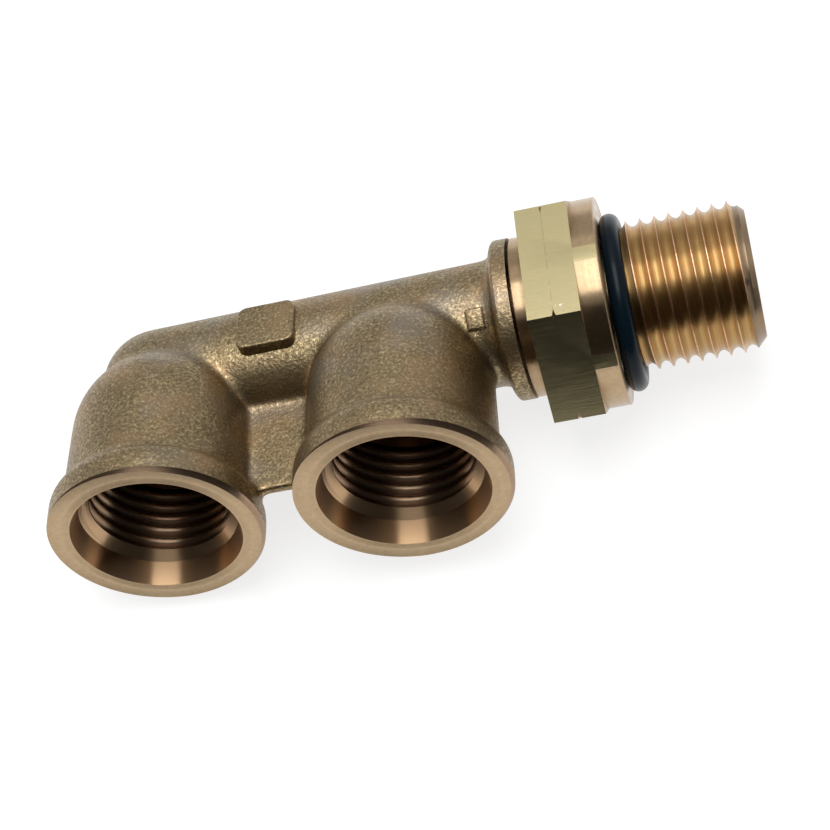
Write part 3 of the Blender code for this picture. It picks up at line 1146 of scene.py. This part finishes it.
@dataclass
class BrassPiece:
    """A brass piece that is made of tools with one finish each.

    Attributes:
        finishes: one material for each zone, in order.
        tree: the nodes that wind its threads.
        overrun: how far a tool reaches past what it cuts.
        steps: segments of its round surfaces.
    """

    finishes: list[Material]
    tree: ThreadTree
    overrun: float = 1.0 * MM
    steps: int = 128

    def tool(self, name: str, profile: Profile, zone: Zone, turn: Matrix | None = None,
             closed: bool = False, steps: int = 0) -> Object:
        """Turn a tool and give it its finish.

        Args:
            name: the tool's name.
            profile: points along the axis and out from it.
            zone: how its surface is made.
            turn: moves it afterwards.
            closed: joins the last point to the first, for a ring.
            steps: segments, where they aren't the piece's own.

        Returns:
            The tool.
        """
        bm = bmesh.new()
        revolve(bm, profile, steps or self.steps, turn, closed)
        made = new_object(name, bm)
        dress(made, self.finishes, zone)
        return made

    def threaded_rod(self, name: str, thread: ThreadForm, start: float, end: float
                     ) -> Object:
        """Wind a threaded rod and give it its finish.

        Args:
            name: the rod's name.
            thread: its form.
            start: where the first crest is.
            end: a place that the thread reaches past.

        Returns:
            The rod.
        """
        rod = thread.rod(name, start, end, self.tree, self.finishes[Zone.THREADED])
        dress(rod, self.finishes, Zone.THREADED)
        return rod


@dataclass
class ForgedBody(BrassPiece):
    """The body: one forging with two ports on a run, and its machined cuts."""

    run: RunSizes = field(default_factory=RunSizes)
    port: PortSizes = field(default_factory=PortSizes)
    web: WebSizes = field(default_factory=WebSizes)
    pad: PadSizes = field(default_factory=PadSizes)
    mark: MarkSizes = field(default_factory=MarkSizes)
    skin: SkinSizes = field(default_factory=SkinSizes)
    thread: ThreadForm = ThreadForm(pitch=1.5 * MM, crest=8.0 * MM, depth=0.81 * MM,
                                    roundness=0.8, turn_steps=80, form_steps=8)
    dome_steps: int = 24
    drill_steps: int = 64
    limit_steps: int = 32

    def build(self, frame: SquareFrame) -> Object:
        """Build the body where it lies.

        Args:
            frame: the fitting's square frame.

        Returns:
            The finished piece.
        """
        body = self._blank()
        self._soften(body)
        dress(body, self.finishes, Zone.AS_FORGED)
        for extra in (self._pad(), self._die_mark(), self._flange_rim(),
                      *(self._lip_rim(x) for x in self.port.places)):
            cut(body, extra, Cut.ADD)
        for x in self.port.places:
            cut(body, self._lip_tool(x), Cut.TAKE)
            cut(body, self._port_tool(x), Cut.TAKE)
        for x in self.port.places:
            cut(body, self._tap(x), Cut.TAKE)
        cut(body, self._spigot_tool(), Cut.TAKE)
        cut(body, self._run_drill(), Cut.TAKE)
        smooth(body)
        frame.lay(body.data)
        return body

    def _blank(self) -> Object:
        """Lay the run, the barrels and the web as crossing skins.

        Returns:
            The blank.
        """
        run, port, web = self.run, self.port, self.web
        bm = bmesh.new()
        end = run.end_x + self.overrun
        revolve(bm, [
            *arc((-run.end_overhang, 0), run.end_radius, self.dome_steps),
            *rim_rise(run.face_x - run.flange_width, run.radius, run.flange_radius,
                      run.flange_shoulder, run.flange_cove),
            (run.face_x + self.overrun, run.flange_radius),
            (run.face_x + self.overrun, run.flange_radius - self.overrun),
            (end, run.flange_radius - self.overrun),
            (end, 0),
        ], self.steps)
        for x in port.places:
            revolve(bm, [
                *arc((port.dome_depth, 0), port.dome_radius, self.dome_steps),
                *rim_rise(port.mouth - port.lip_width, port.barrel_radius,
                          port.lip_radius, port.lip_shoulder, port.lip_cove),
                (port.mouth + self.overrun, port.lip_radius),
                (port.mouth + self.overrun, 0),
            ], self.steps, port_turn(x))
        corners = add_block(bm, (port.spacing / 2, -web.depth / 2, 0),
                            (port.spacing, web.depth, web.root))
        edge = [vert for vert in corners if vert.co.y < -web.depth / 2]
        bmesh.ops.scale(bm, vec=Vector((1, 1, web.edge / web.root)), verts=edge)
        return new_object("forged_body", bm)

    def _soften(self, body: Object) -> None:
        """Melt the crossing skins into one forging with soft fillets.

        Args:
            body: the blank.
        """
        step = body.modifiers.new("skin", "REMESH")
        step.mode = "VOXEL"
        step.voxel_size = self.skin.voxel
        rounding = body.modifiers.new("fillets", "SMOOTH")
        rounding.factor = self.skin.pull
        rounding.iterations = self.skin.passes
        settle(body)

    def _pad(self) -> Object:
        """Make the bare raised pad.

        Returns:
            The pad, with its foot inside the run.
        """
        pad = self.pad
        bm = bmesh.new()
        top = self.run.radius + pad.height
        base = self.run.radius / 2
        add_block(bm, (pad.centre_x, pad.centre_y, (top + base) / 2),
                  (pad.length, pad.width, top - base))
        upright = [edge for edge in bm.edges
                   if abs(edge.verts[0].co.z - edge.verts[1].co.z) > pad.height]
        round_edges(bm, upright, pad.corner, pad.corner_steps)
        rim = [edge for edge in bm.edges
               if all(abs(vert.co.z - top) < MERGE_GAP for vert in edge.verts)]
        round_edges(bm, rim, pad.edge, pad.edge_steps)
        made = new_object("pad_tool", bm)
        dress(made, self.finishes, Zone.AS_FORGED)
        return made

    def _die_mark(self) -> Object:
        """Make the small bare patch that a worn die leaves on the run.

        Returns:
            The patch, with its foot inside the run.
        """
        mark = self.mark
        bm = bmesh.new()
        top = self.run.radius + mark.height
        base = self.run.radius - mark.root
        add_block(bm, (mark.x, 0, (top + base) / 2),
                  (mark.length, mark.width, top - base),
                  Matrix.Rotation(mark.angle - math.pi / 2, 4, "X"))
        round_edges(bm, list(bm.edges), mark.edge, mark.edge_steps)
        made = new_object("die_mark_tool", bm)
        dress(made, self.finishes, Zone.AS_FORGED)
        return made

    def _flange_rim(self) -> Object:
        """Make the run's rim, crisper than the softened blank.

        Returns:
            The rim, filled to the axis.
        """
        run, rim = self.run, self.run.rim
        start = run.face_x - run.flange_width
        end = run.face_x + rim.allowance
        return self.tool("flange_rim", [
            (start - rim.reach, 0),
            (start - rim.reach, run.radius - rim.sunk),
            *rim_rise(start, run.radius - rim.foot, run.flange_radius,
                      run.flange_shoulder, run.flange_cove),
            (run.face_x - run.flange_break_width, run.flange_radius),
            (end, run.flange_radius - run.flange_break),
            (end, 0),
        ], Zone.AS_FORGED)

    def _lip_rim(self, x: float) -> Object:
        """Make a port's flared lip, with a crown that falls towards the mouth.

        Args:
            x: the port's place along the run.

        Returns:
            The lip, filled to the port's axis.
        """
        port, rim = self.port, self.port.rim
        start = port.mouth - port.lip_width
        end = port.mouth + rim.allowance
        shares = [step / port.lip_crown_steps for step in range(port.lip_crown_steps + 1)]
        crown = [(end - (port.lip_crown + rim.allowance) * (1 - share),
                  port.lip_radius - port.lip_fall * share ** 2) for share in shares]
        return self.tool("lip_rim", [
            (start - rim.reach, 0),
            (start - rim.reach, port.barrel_radius - rim.sunk),
            *rim_rise(start, port.barrel_radius - rim.foot, port.lip_radius,
                      port.lip_shoulder, port.lip_cove),
            *crown,
            (end, 0),
        ], Zone.AS_FORGED, port_turn(x))

    def _port_tool(self, x: float) -> Object:
        """Make what is faced, recessed, chamfered and drilled at a port.

        Args:
            x: the port's place along the run.

        Returns:
            The tool.
        """
        port = self.port
        outside = port.mouth + 2 * self.overrun
        floor = port.mouth - port.recess_depth
        chamfer = port.recess_floor_radius - port.tapping_radius
        end = port.mouth - port.tapping_depth
        slope = math.tan(port.drill_angle / 2)
        cone = (port.tapping_radius - port.passage_radius) / slope
        return self.tool("port_tool", [
            (-port.passage_radius / slope, 0),
            (0, port.passage_radius),
            (end - cone, port.passage_radius),
            (end, port.tapping_radius),
            (floor - chamfer, port.tapping_radius),
            (floor, port.recess_floor_radius),
            (port.mouth, port.recess_radius),
            (port.mouth, port.lip_radius + self.overrun),
            (outside, port.lip_radius + self.overrun),
            (outside, 0),
        ], Zone.TURNED, port_turn(x))

    def _lip_tool(self, x: float) -> Object:
        """Make the cutter of the chamfer on a lip's rim, a little off centre.

        Args:
            x: the port's place along the run.

        Returns:
            The cutter.
        """
        port = self.port
        radius = port.lip_chamfer_radius
        far = self.overrun
        aside, up = port.lip_chamfer_shift
        return self.tool("lip_tool", [
            (port.mouth + far, radius - far),
            (port.mouth + far, radius + 2 * far),
            (port.mouth - 2 * far, radius + 2 * far),
        ], Zone.THREADED, Matrix.Translation((aside, 0.0, up)) @ port_turn(x), closed=True)

    def _tap(self, x: float) -> Object:
        """Make the tap that cuts a port's thread, wound by Geometry Nodes.

        Args:
            x: the port's place along the run.

        Returns:
            The tap.
        """
        port = self.port
        end = port.mouth - port.tapping_depth
        floor = port.mouth - port.recess_depth
        tap = self.threaded_rod(f"tap_{round(x / MM)}", self.thread,
                                end + port.thread_start_turns * self.thread.pitch,
                                floor + self.thread.pitch)
        clear = 2 * port.recess_radius
        limit = self.tool("tap_limit", [(0, 0), (0, clear), (floor, clear), (floor, 0)],
                          Zone.THREADED, steps=self.limit_steps)
        cut(tap, limit, Cut.KEEP)
        tap.data.transform(port_turn(x))
        tap.data.update()
        return tap

    def _spigot_tool(self) -> Object:
        """Make what is turned away round the spigot.

        Returns:
            The tool.
        """
        run = self.run
        outer = run.flange_radius + self.overrun
        return self.tool("spigot_tool", [
            (run.face_x, outer),
            (run.face_x, run.spigot_radius),
            (run.wire_x - run.groove_half, run.spigot_radius),
            (run.wire_x - run.groove_half, run.groove_floor),
            (run.wire_x + run.groove_half, run.groove_floor),
            (run.wire_x + run.groove_half, run.spigot_radius),
            (run.seal_x - run.seal_half, run.spigot_radius),
            (run.seal_x - run.seal_half, run.seal_floor),
            (run.seal_x + run.seal_half, run.seal_floor),
            (run.seal_x + run.seal_half, run.spigot_radius),
            (run.end_x - run.spigot_chamfer, run.spigot_radius),
            (run.end_x, run.spigot_radius - run.spigot_chamfer),
            (run.end_x, 0),
            (run.end_x + 2 * self.overrun, 0),
            (run.end_x + 2 * self.overrun, outer),
        ], Zone.TURNED, closed=True)

    def _run_drill(self) -> Object:
        """Make the drill that opens the run.

        Returns:
            The drill.
        """
        run = self.run
        tip = -run.bore_radius / math.tan(self.port.drill_angle / 2)
        return self.tool("run_drill", [
            (tip, 0),
            (0, run.bore_radius),
            (run.end_x + self.overrun, run.bore_radius),
            (run.end_x + self.overrun, 0),
        ], Zone.TURNED, steps=self.drill_steps)


@dataclass(frozen=True)
class StudSizes:
    """Sizes of the stud, from its shoulder to the thread's end."""

    start_x: float = 39.9 * MM
    shoulder_radius: float = 8.5 * MM
    shoulder_width: float = 1.63 * MM
    across_flats: float = 21.998 * MM
    hex_width: float = 5.38 * MM
    corner_angle: float = math.radians(45.6)
    nick_width: float = 0.42 * MM
    nick_depth: float = 0.36 * MM
    collar_radius: float = 11.03 * MM
    collar_width: float = 2.42 * MM
    neck_radius: float = 6.85 * MM
    neck_width: float = 2.0 * MM
    thread_length: float = 12.848 * MM
    thread_radius: float = 7.9 * MM
    core_clearance: float = 0.1 * MM
    first_crest_x: float = 50.356 * MM
    start_chamfer: float = 0.4 * MM
    end_chamfer: float = 1.28 * MM
    bore_radius: float = 4.75 * MM
    counterbore_radius: float = 6.2 * MM
    counterbore_end_x: float = 48.2 * MM
    wire_x: float = RunSizes.wire_x
    groove_half: float = RunSizes.groove_half
    groove_outer: float = 6.85 * MM
    bore_chamfer: float = 0.5 * MM
    edge_break: float = 0.1 * MM

    @property
    def hex_x(self) -> float:
        """Where the hexagon starts."""
        return self.start_x + self.shoulder_width

    @property
    def collar_x(self) -> float:
        """Where the collar starts."""
        return self.hex_x + self.hex_width

    @property
    def face_x(self) -> float:
        """The face that the seal lies against."""
        return self.collar_x + self.collar_width

    @property
    def thread_x(self) -> float:
        """Where the thread starts."""
        return self.face_x + self.neck_width

    @property
    def tip_x(self) -> float:
        """Where the stud ends."""
        return self.thread_x + self.thread_length

    @property
    def corner_radius(self) -> float:
        """Radius at the hexagon's corners."""
        return self.across_flats / 2 / math.cos(math.pi / 6)


@dataclass
class SwivelStud(BrassPiece):
    """The stud: turned from hexagon bar, with a cut thread."""

    steps: int = 192
    sizes: StudSizes = field(default_factory=StudSizes)
    thread: ThreadForm = ThreadForm(pitch=1.5 * MM, crest=8.02 * MM, depth=0.84 * MM,
                                    roundness=0.62, turn_steps=128, form_steps=14)
    bore_steps: int = 96

    def build(self, frame: SquareFrame) -> Object:
        """Build the stud where it lies.

        Args:
            frame: the fitting's square frame.

        Returns:
            The finished piece.
        """
        stud = self._bar()
        cut(stud, self._turning(), Cut.KEEP)
        cut(stud, self._nick(), Cut.TAKE)
        cut(stud, self._thread(), Cut.ADD)
        cut(stud, self._bore(), Cut.TAKE)
        smooth(stud)
        frame.lay(stud.data)
        return stud

    def _bar(self) -> Object:
        """Saw off drawn hexagon bar, with one corner at the front.

        Returns:
            The bar.
        """
        s = self.sizes
        bm = bmesh.new()
        length = s.face_x - s.start_x + 2 * self.overrun
        bmesh.ops.create_cone(bm, cap_ends=True, segments=6, radius1=s.corner_radius,
                              radius2=s.corner_radius, depth=length)
        lay = Matrix.Translation((s.start_x + length / 2 - self.overrun, 0, 0)) \
            @ Matrix.Rotation(math.pi / 2, 4, "Y")
        bmesh.ops.transform(bm, matrix=lay, verts=bm.verts)
        corner = max(bm.verts, key=lambda vert: vert.co.z).co
        present = math.atan2(corner.z, -corner.y)
        spin = Matrix.Rotation(present - s.corner_angle, 4, "X")
        bmesh.ops.transform(bm, matrix=spin, verts=bm.verts)
        bar = new_object("swivel_stud_brass", bm)
        dress(bar, self.finishes, Zone.DRAWN)
        return bar

    def _turning(self) -> Object:
        """Make what the lathe leaves of the bar, up to the seal's face.

        Returns:
            The shape that is kept.
        """
        s = self.sizes
        clear = s.corner_radius + self.overrun
        return self.tool("turning", [
            (s.start_x, 0),
            (s.start_x, s.shoulder_radius - s.edge_break),
            (s.start_x + s.edge_break, s.shoulder_radius),
            (s.hex_x, s.shoulder_radius),
            (s.hex_x, clear),
            (s.collar_x, clear),
            (s.collar_x, s.collar_radius),
            (s.face_x - s.edge_break, s.collar_radius),
            (s.face_x, s.collar_radius - s.edge_break),
            (s.face_x, 0),
        ], Zone.TURNED)

    def _nick(self) -> Object:
        """Make the cutter of the V groove that nicks the hexagon's corners.

        Returns:
            The cutter.
        """
        s = self.sizes
        middle = s.hex_x + s.hex_width / 2
        outer = s.corner_radius + self.overrun
        flare = s.nick_width / 2 * (outer - s.corner_radius + s.nick_depth) / s.nick_depth
        return self.tool("nick_tool", [
            (middle, s.corner_radius - s.nick_depth),
            (middle + flare, outer),
            (middle - flare, outer),
        ], Zone.TURNED, closed=True)

    def _thread(self) -> Object:
        """Make the neck and the cut thread, wound by Geometry Nodes.

        Returns:
            The threaded end, with its foot inside the collar.
        """
        s = self.sizes
        rod = self.threaded_rod("male_thread", self.thread, s.first_crest_x, s.tip_x)
        root = self.thread.crest - self.thread.depth - s.core_clearance
        neck = [
            (s.collar_x + self.overrun, 0),
            (s.collar_x + self.overrun, s.neck_radius),
            (s.thread_x, s.neck_radius),
        ]
        envelope = self.tool("thread_envelope", [
            *neck,
            (s.thread_x + s.start_chamfer, s.thread_radius),
            (s.tip_x - s.end_chamfer, s.thread_radius),
            (s.tip_x, s.thread_radius - s.end_chamfer),
            (s.tip_x, 0),
        ], Zone.THREADED)
        core = self.tool("thread_core", [
            *neck,
            (s.thread_x, root),
            (s.tip_x, root),
            (s.tip_x, 0),
        ], Zone.TURNED)
        cut(rod, core, Cut.ADD)
        cut(rod, envelope, Cut.KEEP)
        return rod

    def _bore(self) -> Object:
        """Make what opens the counterbore, the wire groove and the through bore.

        Returns:
            The tool.
        """
        s = self.sizes
        mouth = s.counterbore_radius + s.bore_chamfer + self.overrun
        tip_mouth = s.bore_radius + s.bore_chamfer + self.overrun
        return self.tool("stud_bore_tool", [
            (s.start_x - self.overrun, 0),
            (s.start_x - self.overrun, mouth),
            (s.start_x + s.bore_chamfer, s.counterbore_radius),
            (s.wire_x - s.groove_half, s.counterbore_radius),
            (s.wire_x - s.groove_half, s.groove_outer),
            (s.wire_x + s.groove_half, s.groove_outer),
            (s.wire_x + s.groove_half, s.counterbore_radius),
            (s.counterbore_end_x, s.counterbore_radius),
            (s.counterbore_end_x, s.bore_radius),
            (s.tip_x - s.bore_chamfer, s.bore_radius),
            (s.tip_x + self.overrun, tip_mouth),
            (s.tip_x + self.overrun, 0),
        ], Zone.TURNED, steps=self.bore_steps)


@dataclass(frozen=True)
class Ring:
    """A seal or a wire ring round the run's axis.

    Attributes:
        name: the piece's name.
        x: its place along the run.
        radius: middle radius.
        section: radius of the section.
        squeeze: the section's height over its own.
        opening: angle that is left open.
        shift: how far its middle lies off the axis, in y and z.
        bulge: how far it stands off along the run at its front.
        front: angle of its front round the run.
        weld: share of the section within which the sweep's two ends are joined.
        crease: angle in degrees above which an edge stays sharp.
    """

    name: str
    x: float
    radius: float
    section: float
    squeeze: float = 1.0
    opening: float = 0.0
    shift: tuple[float, float] = (0.0, 0.0)
    bulge: float = 0.0
    front: float = math.radians(130.5)
    ring_steps: int = 160
    section_steps: int = 28
    weld: float = 0.02
    crease: float = 60.0

    def build(self, frame: SquareFrame, tree: RingTree, finish: Material) -> Object:
        """Build the ring where it lies.

        Args:
            frame: the fitting's square frame.
            tree: the sweep that makes it.
            finish: its material.

        Returns:
            The finished piece.
        """
        ring = new_object(self.name, bmesh.new())
        tree.run(ring, {
            "Radius": self.radius, "Section": self.section, "Opening": self.opening,
            "Ring Steps": self.ring_steps, "Section Steps": self.section_steps,
            "Finish": finish})
        self._close(ring)
        lay = Matrix.Translation((self.x, *self.shift)) \
            @ Matrix.Rotation(math.pi / 2, 4, "Y") \
            @ Matrix.Diagonal((1.0, 1.0, 1.0 / self.squeeze, 1.0))
        ring.data.transform(lay)
        for vert in ring.data.vertices:
            turn = math.atan2(vert.co.z, vert.co.y) - self.front
            vert.co.x += self.bulge * max(math.cos(turn), 0.0) ** 2
        smooth(ring, self.crease)
        frame.lay(ring.data)
        return ring

    def _close(self, ring: Object) -> None:
        """Join the sweep's two ends where the ring is closed.

        Args:
            ring: the swept ring, whose end caps have more than four corners.
        """
        bm = bmesh.new()
        bm.from_mesh(ring.data)
        if not self.opening:
            ends = [face for face in bm.faces if len(face.verts) > 4]
            bmesh.ops.delete(bm, geom=ends, context="FACES_ONLY")
            bmesh.ops.remove_doubles(bm, verts=bm.verts, dist=self.section * self.weld)
        bmesh.ops.recalc_face_normals(bm, faces=bm.faces)
        bm.to_mesh(ring.data)
        bm.free()


@dataclass(frozen=True)
class PhotoCamera:
    """The camera that was fitted to the photograph, in the square frame."""

    azimuth: float = 16.312
    elevation: float = 48.271
    roll: float = -22.838
    distance: float = 190.0 * MM
    focal_pixels: float = 1842.31
    target: Triple = (27.633 * MM, -10.496 * MM, 0.0)
    clip: tuple[float, float] = (0.005, 20.0)

    def build(self, frame: SquareFrame) -> Object:
        """Place the camera.

        Args:
            frame: the fitting's square frame.

        Returns:
            The camera.
        """
        az, el, roll = (math.radians(angle)
                        for angle in (self.azimuth, self.elevation, self.roll))
        back = Vector((math.sin(az) * math.cos(el), -math.cos(az) * math.cos(el),
                       math.sin(el)))
        right = Vector((math.cos(az), math.sin(az), 0.0))
        up = back.cross(right)
        side = right * math.cos(roll) + up * math.sin(roll)
        top = up * math.cos(roll) - right * math.sin(roll)
        turn = Matrix((side, top, back)).transposed().to_4x4()
        spot = Matrix.Translation(Vector(self.target) + back * self.distance)
        data = bpy.data.cameras.new("photo_camera")
        data.sensor_width = SENSOR_WIDTH
        data.lens = self.focal_pixels * SENSOR_WIDTH / IMAGE_SIDE
        data.clip_start, data.clip_end = self.clip
        camera = bpy.data.objects.new("photo_camera", data)
        camera.matrix_world = frame.matrix @ spot @ turn
        bpy.context.scene.collection.objects.link(camera)
        bpy.context.scene.camera = camera
        return camera


@dataclass(frozen=True)
class Softbox:
    """One white area lamp that looks at the fitting.

    Attributes:
        name: the lamp's name.
        spot: where it stands, in metres.
        size: its two sides.
        power: its power in watts.
        target: what it looks at.
    """

    name: str
    spot: Triple
    size: tuple[float, float]
    power: float
    target: Triple = (0.0, 0.0, 0.011)

    def build(self) -> Object:
        """Place the lamp.

        Returns:
            The lamp.
        """
        data = bpy.data.lights.new(self.name, "AREA")
        data.shape = "RECTANGLE"
        data.size, data.size_y = self.size
        data.energy = self.power
        lamp = bpy.data.objects.new(self.name, data)
        away = Vector(self.spot) - Vector(self.target)
        lamp.location = self.spot
        lamp.rotation_euler = away.to_track_quat("Z", "Y").to_euler()
        bpy.context.scene.collection.objects.link(lamp)
        return lamp


@dataclass(frozen=True)
class Flag:
    """A dark curved card round the front of the fitting, seen only in the brass.

    Attributes:
        name: the card's name.
        away: its distance from the middle.
        half_width: how far it reaches to either side, in degrees.
        height: how high it stands on the table.
        shade: how pale it is.
        steps: how many flat strips it has.
    """

    name: str
    away: float
    half_width: float
    height: float
    shade: float
    steps: int = 32

    def build(self) -> Object:
        """Place the card.

        Returns:
            The card.
        """
        bm = bmesh.new()
        pairs = []
        for step in range(self.steps + 1):
            turn = math.radians(self.half_width * (2 * step / self.steps - 1))
            x, y = self.away * math.sin(turn), -self.away * math.cos(turn)
            pairs.append((bm.verts.new((x, y, 0.0)), bm.verts.new((x, y, self.height))))
        for (a, b), (c, d) in zip(pairs, pairs[1:]):
            bm.faces.new((a, b, d, c))
        card = new_object(self.name, bm)
        card.data.materials.append(FinishCraft(self.name).shade(
            Base_Color=(self.shade,) * 3, Roughness=1.0, Specular_IOR_Level=0.0))
        card.visible_camera = False
        card.visible_diffuse = False
        card.visible_shadow = False
        return card


@dataclass
class Studio:
    """White table, pale surroundings, lamps and a dark flag in front."""

    lamps: Sequence[Softbox] = (
        Softbox("top_box", spot=(0.0, 0.04, 0.5), size=(0.30, 0.34), power=1.5),
        Softbox("back_card", spot=(0.0, 0.3, 0.4), size=(0.34, 0.24), power=0.12),
    )
    flag: Flag = Flag("front_flag", away=0.10, half_width=76.0, height=0.2, shade=0.045)
    world_level: float = 0.6
    table_half: float = 1.5
    table_shade: float = 0.3
    table_glow: float = 0.76

    def build(self) -> None:
        """Set up table, world, lamps and flag."""
        self._table()
        self._world()
        for thing in (*self.lamps, self.flag):
            thing.build()

    def _table(self) -> None:
        """Lay the white table, which keeps the fitting's shadow."""
        bm = bmesh.new()
        bmesh.ops.create_grid(bm, x_segments=1, y_segments=1, size=self.table_half)
        table = new_object("table_top", bm)
        craft = FinishCraft("white_table")
        path = craft.nodes.new("ShaderNodeLightPath").outputs
        seen = craft.math("MAXIMUM", path["Is Camera Ray"],
                          craft.math("MAXIMUM", path["Is Glossy Ray"],
                                     path["Is Transmission Ray"]))
        table.data.materials.append(craft.shade(
            Base_Color=(self.table_shade,) * 3, Roughness=1.0,
            Emission_Color=(1.0, 1.0, 1.0),
            Emission_Strength=craft.math("MULTIPLY", seen, self.table_glow)))

    def _world(self) -> None:
        """Set even pale light from all round."""
        world = bpy.data.worlds.new("studio")
        world.use_nodes = True
        bpy.context.scene.world = world
        background = world.node_tree.nodes["Background"]
        background.inputs["Color"].default_value = (1, 1, 1, 1)
        background.inputs["Strength"].default_value = self.world_level


@dataclass
class Fitting:
    """The whole fitting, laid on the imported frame."""

    frame: SquareFrame
    finishes: dict[str, Material]

    @classmethod
    def with_finishes(cls, frame: SquareFrame) -> "Fitting":
        """Make the finishes and the fitting.

        Args:
            frame: the fitting's square frame.

        Returns:
            The fitting, not built yet.
        """
        port, stud = PortSizes(), StudSizes()
        chamfer_x = stud.tip_x - stud.end_chamfer
        kinds = {
            "forged": ForgedBrass(),
            "port_turned": TurnedBrass(
                "port_turned_brass", port.spacing,
                # painted shade: the recess is tinted darker and redder
                recess=Fade(port.recess_radius + 0.06 * MM, port.recess_radius + 0.01 * MM)),
            "port_thread": TurnedBrass(
                "port_thread_brass", port.spacing, colour=(0.36, 0.25, 0.17),
                roughness=0.3, anisotropy=0.75, lines=0.4,
                # painted shade deep in the threaded hole
                sunk=Fade(11.6 * MM, 7.0 * MM, 0.0, 0.8)),
            "run_turned": TurnedBrass("run_turned_brass"),
            "run_thread": TurnedBrass(
                "run_thread_brass", colour=(0.50, 0.34, 0.15), roughness=0.4,
                anisotropy=0.92, lines=0.8,
                # painted highlight along the thread's crests
                crest=Fade(stud.thread_radius - 0.13 * MM, stud.thread_radius - 0.04 * MM),
                dull=Fade(chamfer_x + 0.052 * MM, chamfer_x + 0.152 * MM, 0.0, 0.85),
                dings=Spots(in_mm((54.29, -4.99, 6.21)), reach=0.3 * MM,
                            colour=(1.0, 0.93, 0.82)),
                pits=Spots(in_mm((63.05, -7.0, -0.11), (63.26, -5.68, 5.05)),
                           reach=0.5 * MM, colour=(0.12, 0.085, 0.055))),
            "drawn": DrawnBrass(),
            "rubber": Rubber(),
            "wire": SpringWire(),
        }
        return cls(frame, {label: kind.make(frame) for label, kind in kinds.items()})

    def build(self) -> None:
        """Build every piece in order and let it ride on its body."""
        f = self.finishes
        threads, sweep = ThreadTree(), RingTree()
        body = ForgedBody([f["forged"], f["port_turned"], f["port_thread"], f["drawn"]],
                          threads)
        stud = SwivelStud([f["forged"], f["run_turned"], f["run_thread"], f["drawn"]],
                          threads)
        self._hand_in(body.build(self.frame), "body", "manifold_body")
        self._hand_in(stud.build(self.frame), "stud", "swivel_stud")
        rings = (
            (Ring("stud_seal", x=50.38 * MM, radius=8.4 * MM, section=1.02 * MM,
                  shift=(-0.42 * MM, -0.16 * MM), bulge=0.2 * MM),
             "stud", "stud_o_ring", "seal_rubber", f["rubber"]),
            (Ring("spigot_seal", x=RunSizes.seal_x, radius=5.575 * MM,
                  section=0.525 * MM, squeeze=0.7),
             "body", "spigot_o_ring", "seal_rubber", f["rubber"]),
            (Ring("wire_ring", x=RunSizes.wire_x, radius=6.05 * MM, section=0.55 * MM,
                  opening=math.radians(28)),
             "body", "retaining_ring", "spring_steel", f["wire"]),
        )
        for ring, body_name, node, slot, finish in rings:
            made = ring.build(self.frame, sweep, finish)
            self._hand_in(made, body_name, node)

    def _hand_in(self, piece: Object, body: str, node: str) -> None:
        """Let a piece ride on a body in the place of a CAD node, and report it.

        Args:
            piece: the finished piece.
            body: the body that it moves with.
            node: the CAD node that it replaces.
        """
        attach(piece, body)
        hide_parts(node)
        triangles = sum(len(face.vertices) - 2 for face in piece.data.polygons)
        LOG.info("%s rides on %s: %d triangles", piece.name, body, triangles)


def main() -> None:
    """Build the looks, the studio and the camera."""
    logging.basicConfig(level=logging.INFO, format="%(name)s: %(message)s")
    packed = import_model()
    frame = SquareFrame.from_record(packed["record"], StudSizes().start_x)
    Fitting.with_finishes(frame).build()
    Studio().build()
    PhotoCamera().build(frame)
    bpy.context.scene.view_settings.view_transform = "Standard"
    bpy.context.view_layer.update()


if __name__ == "__main__":
    main()
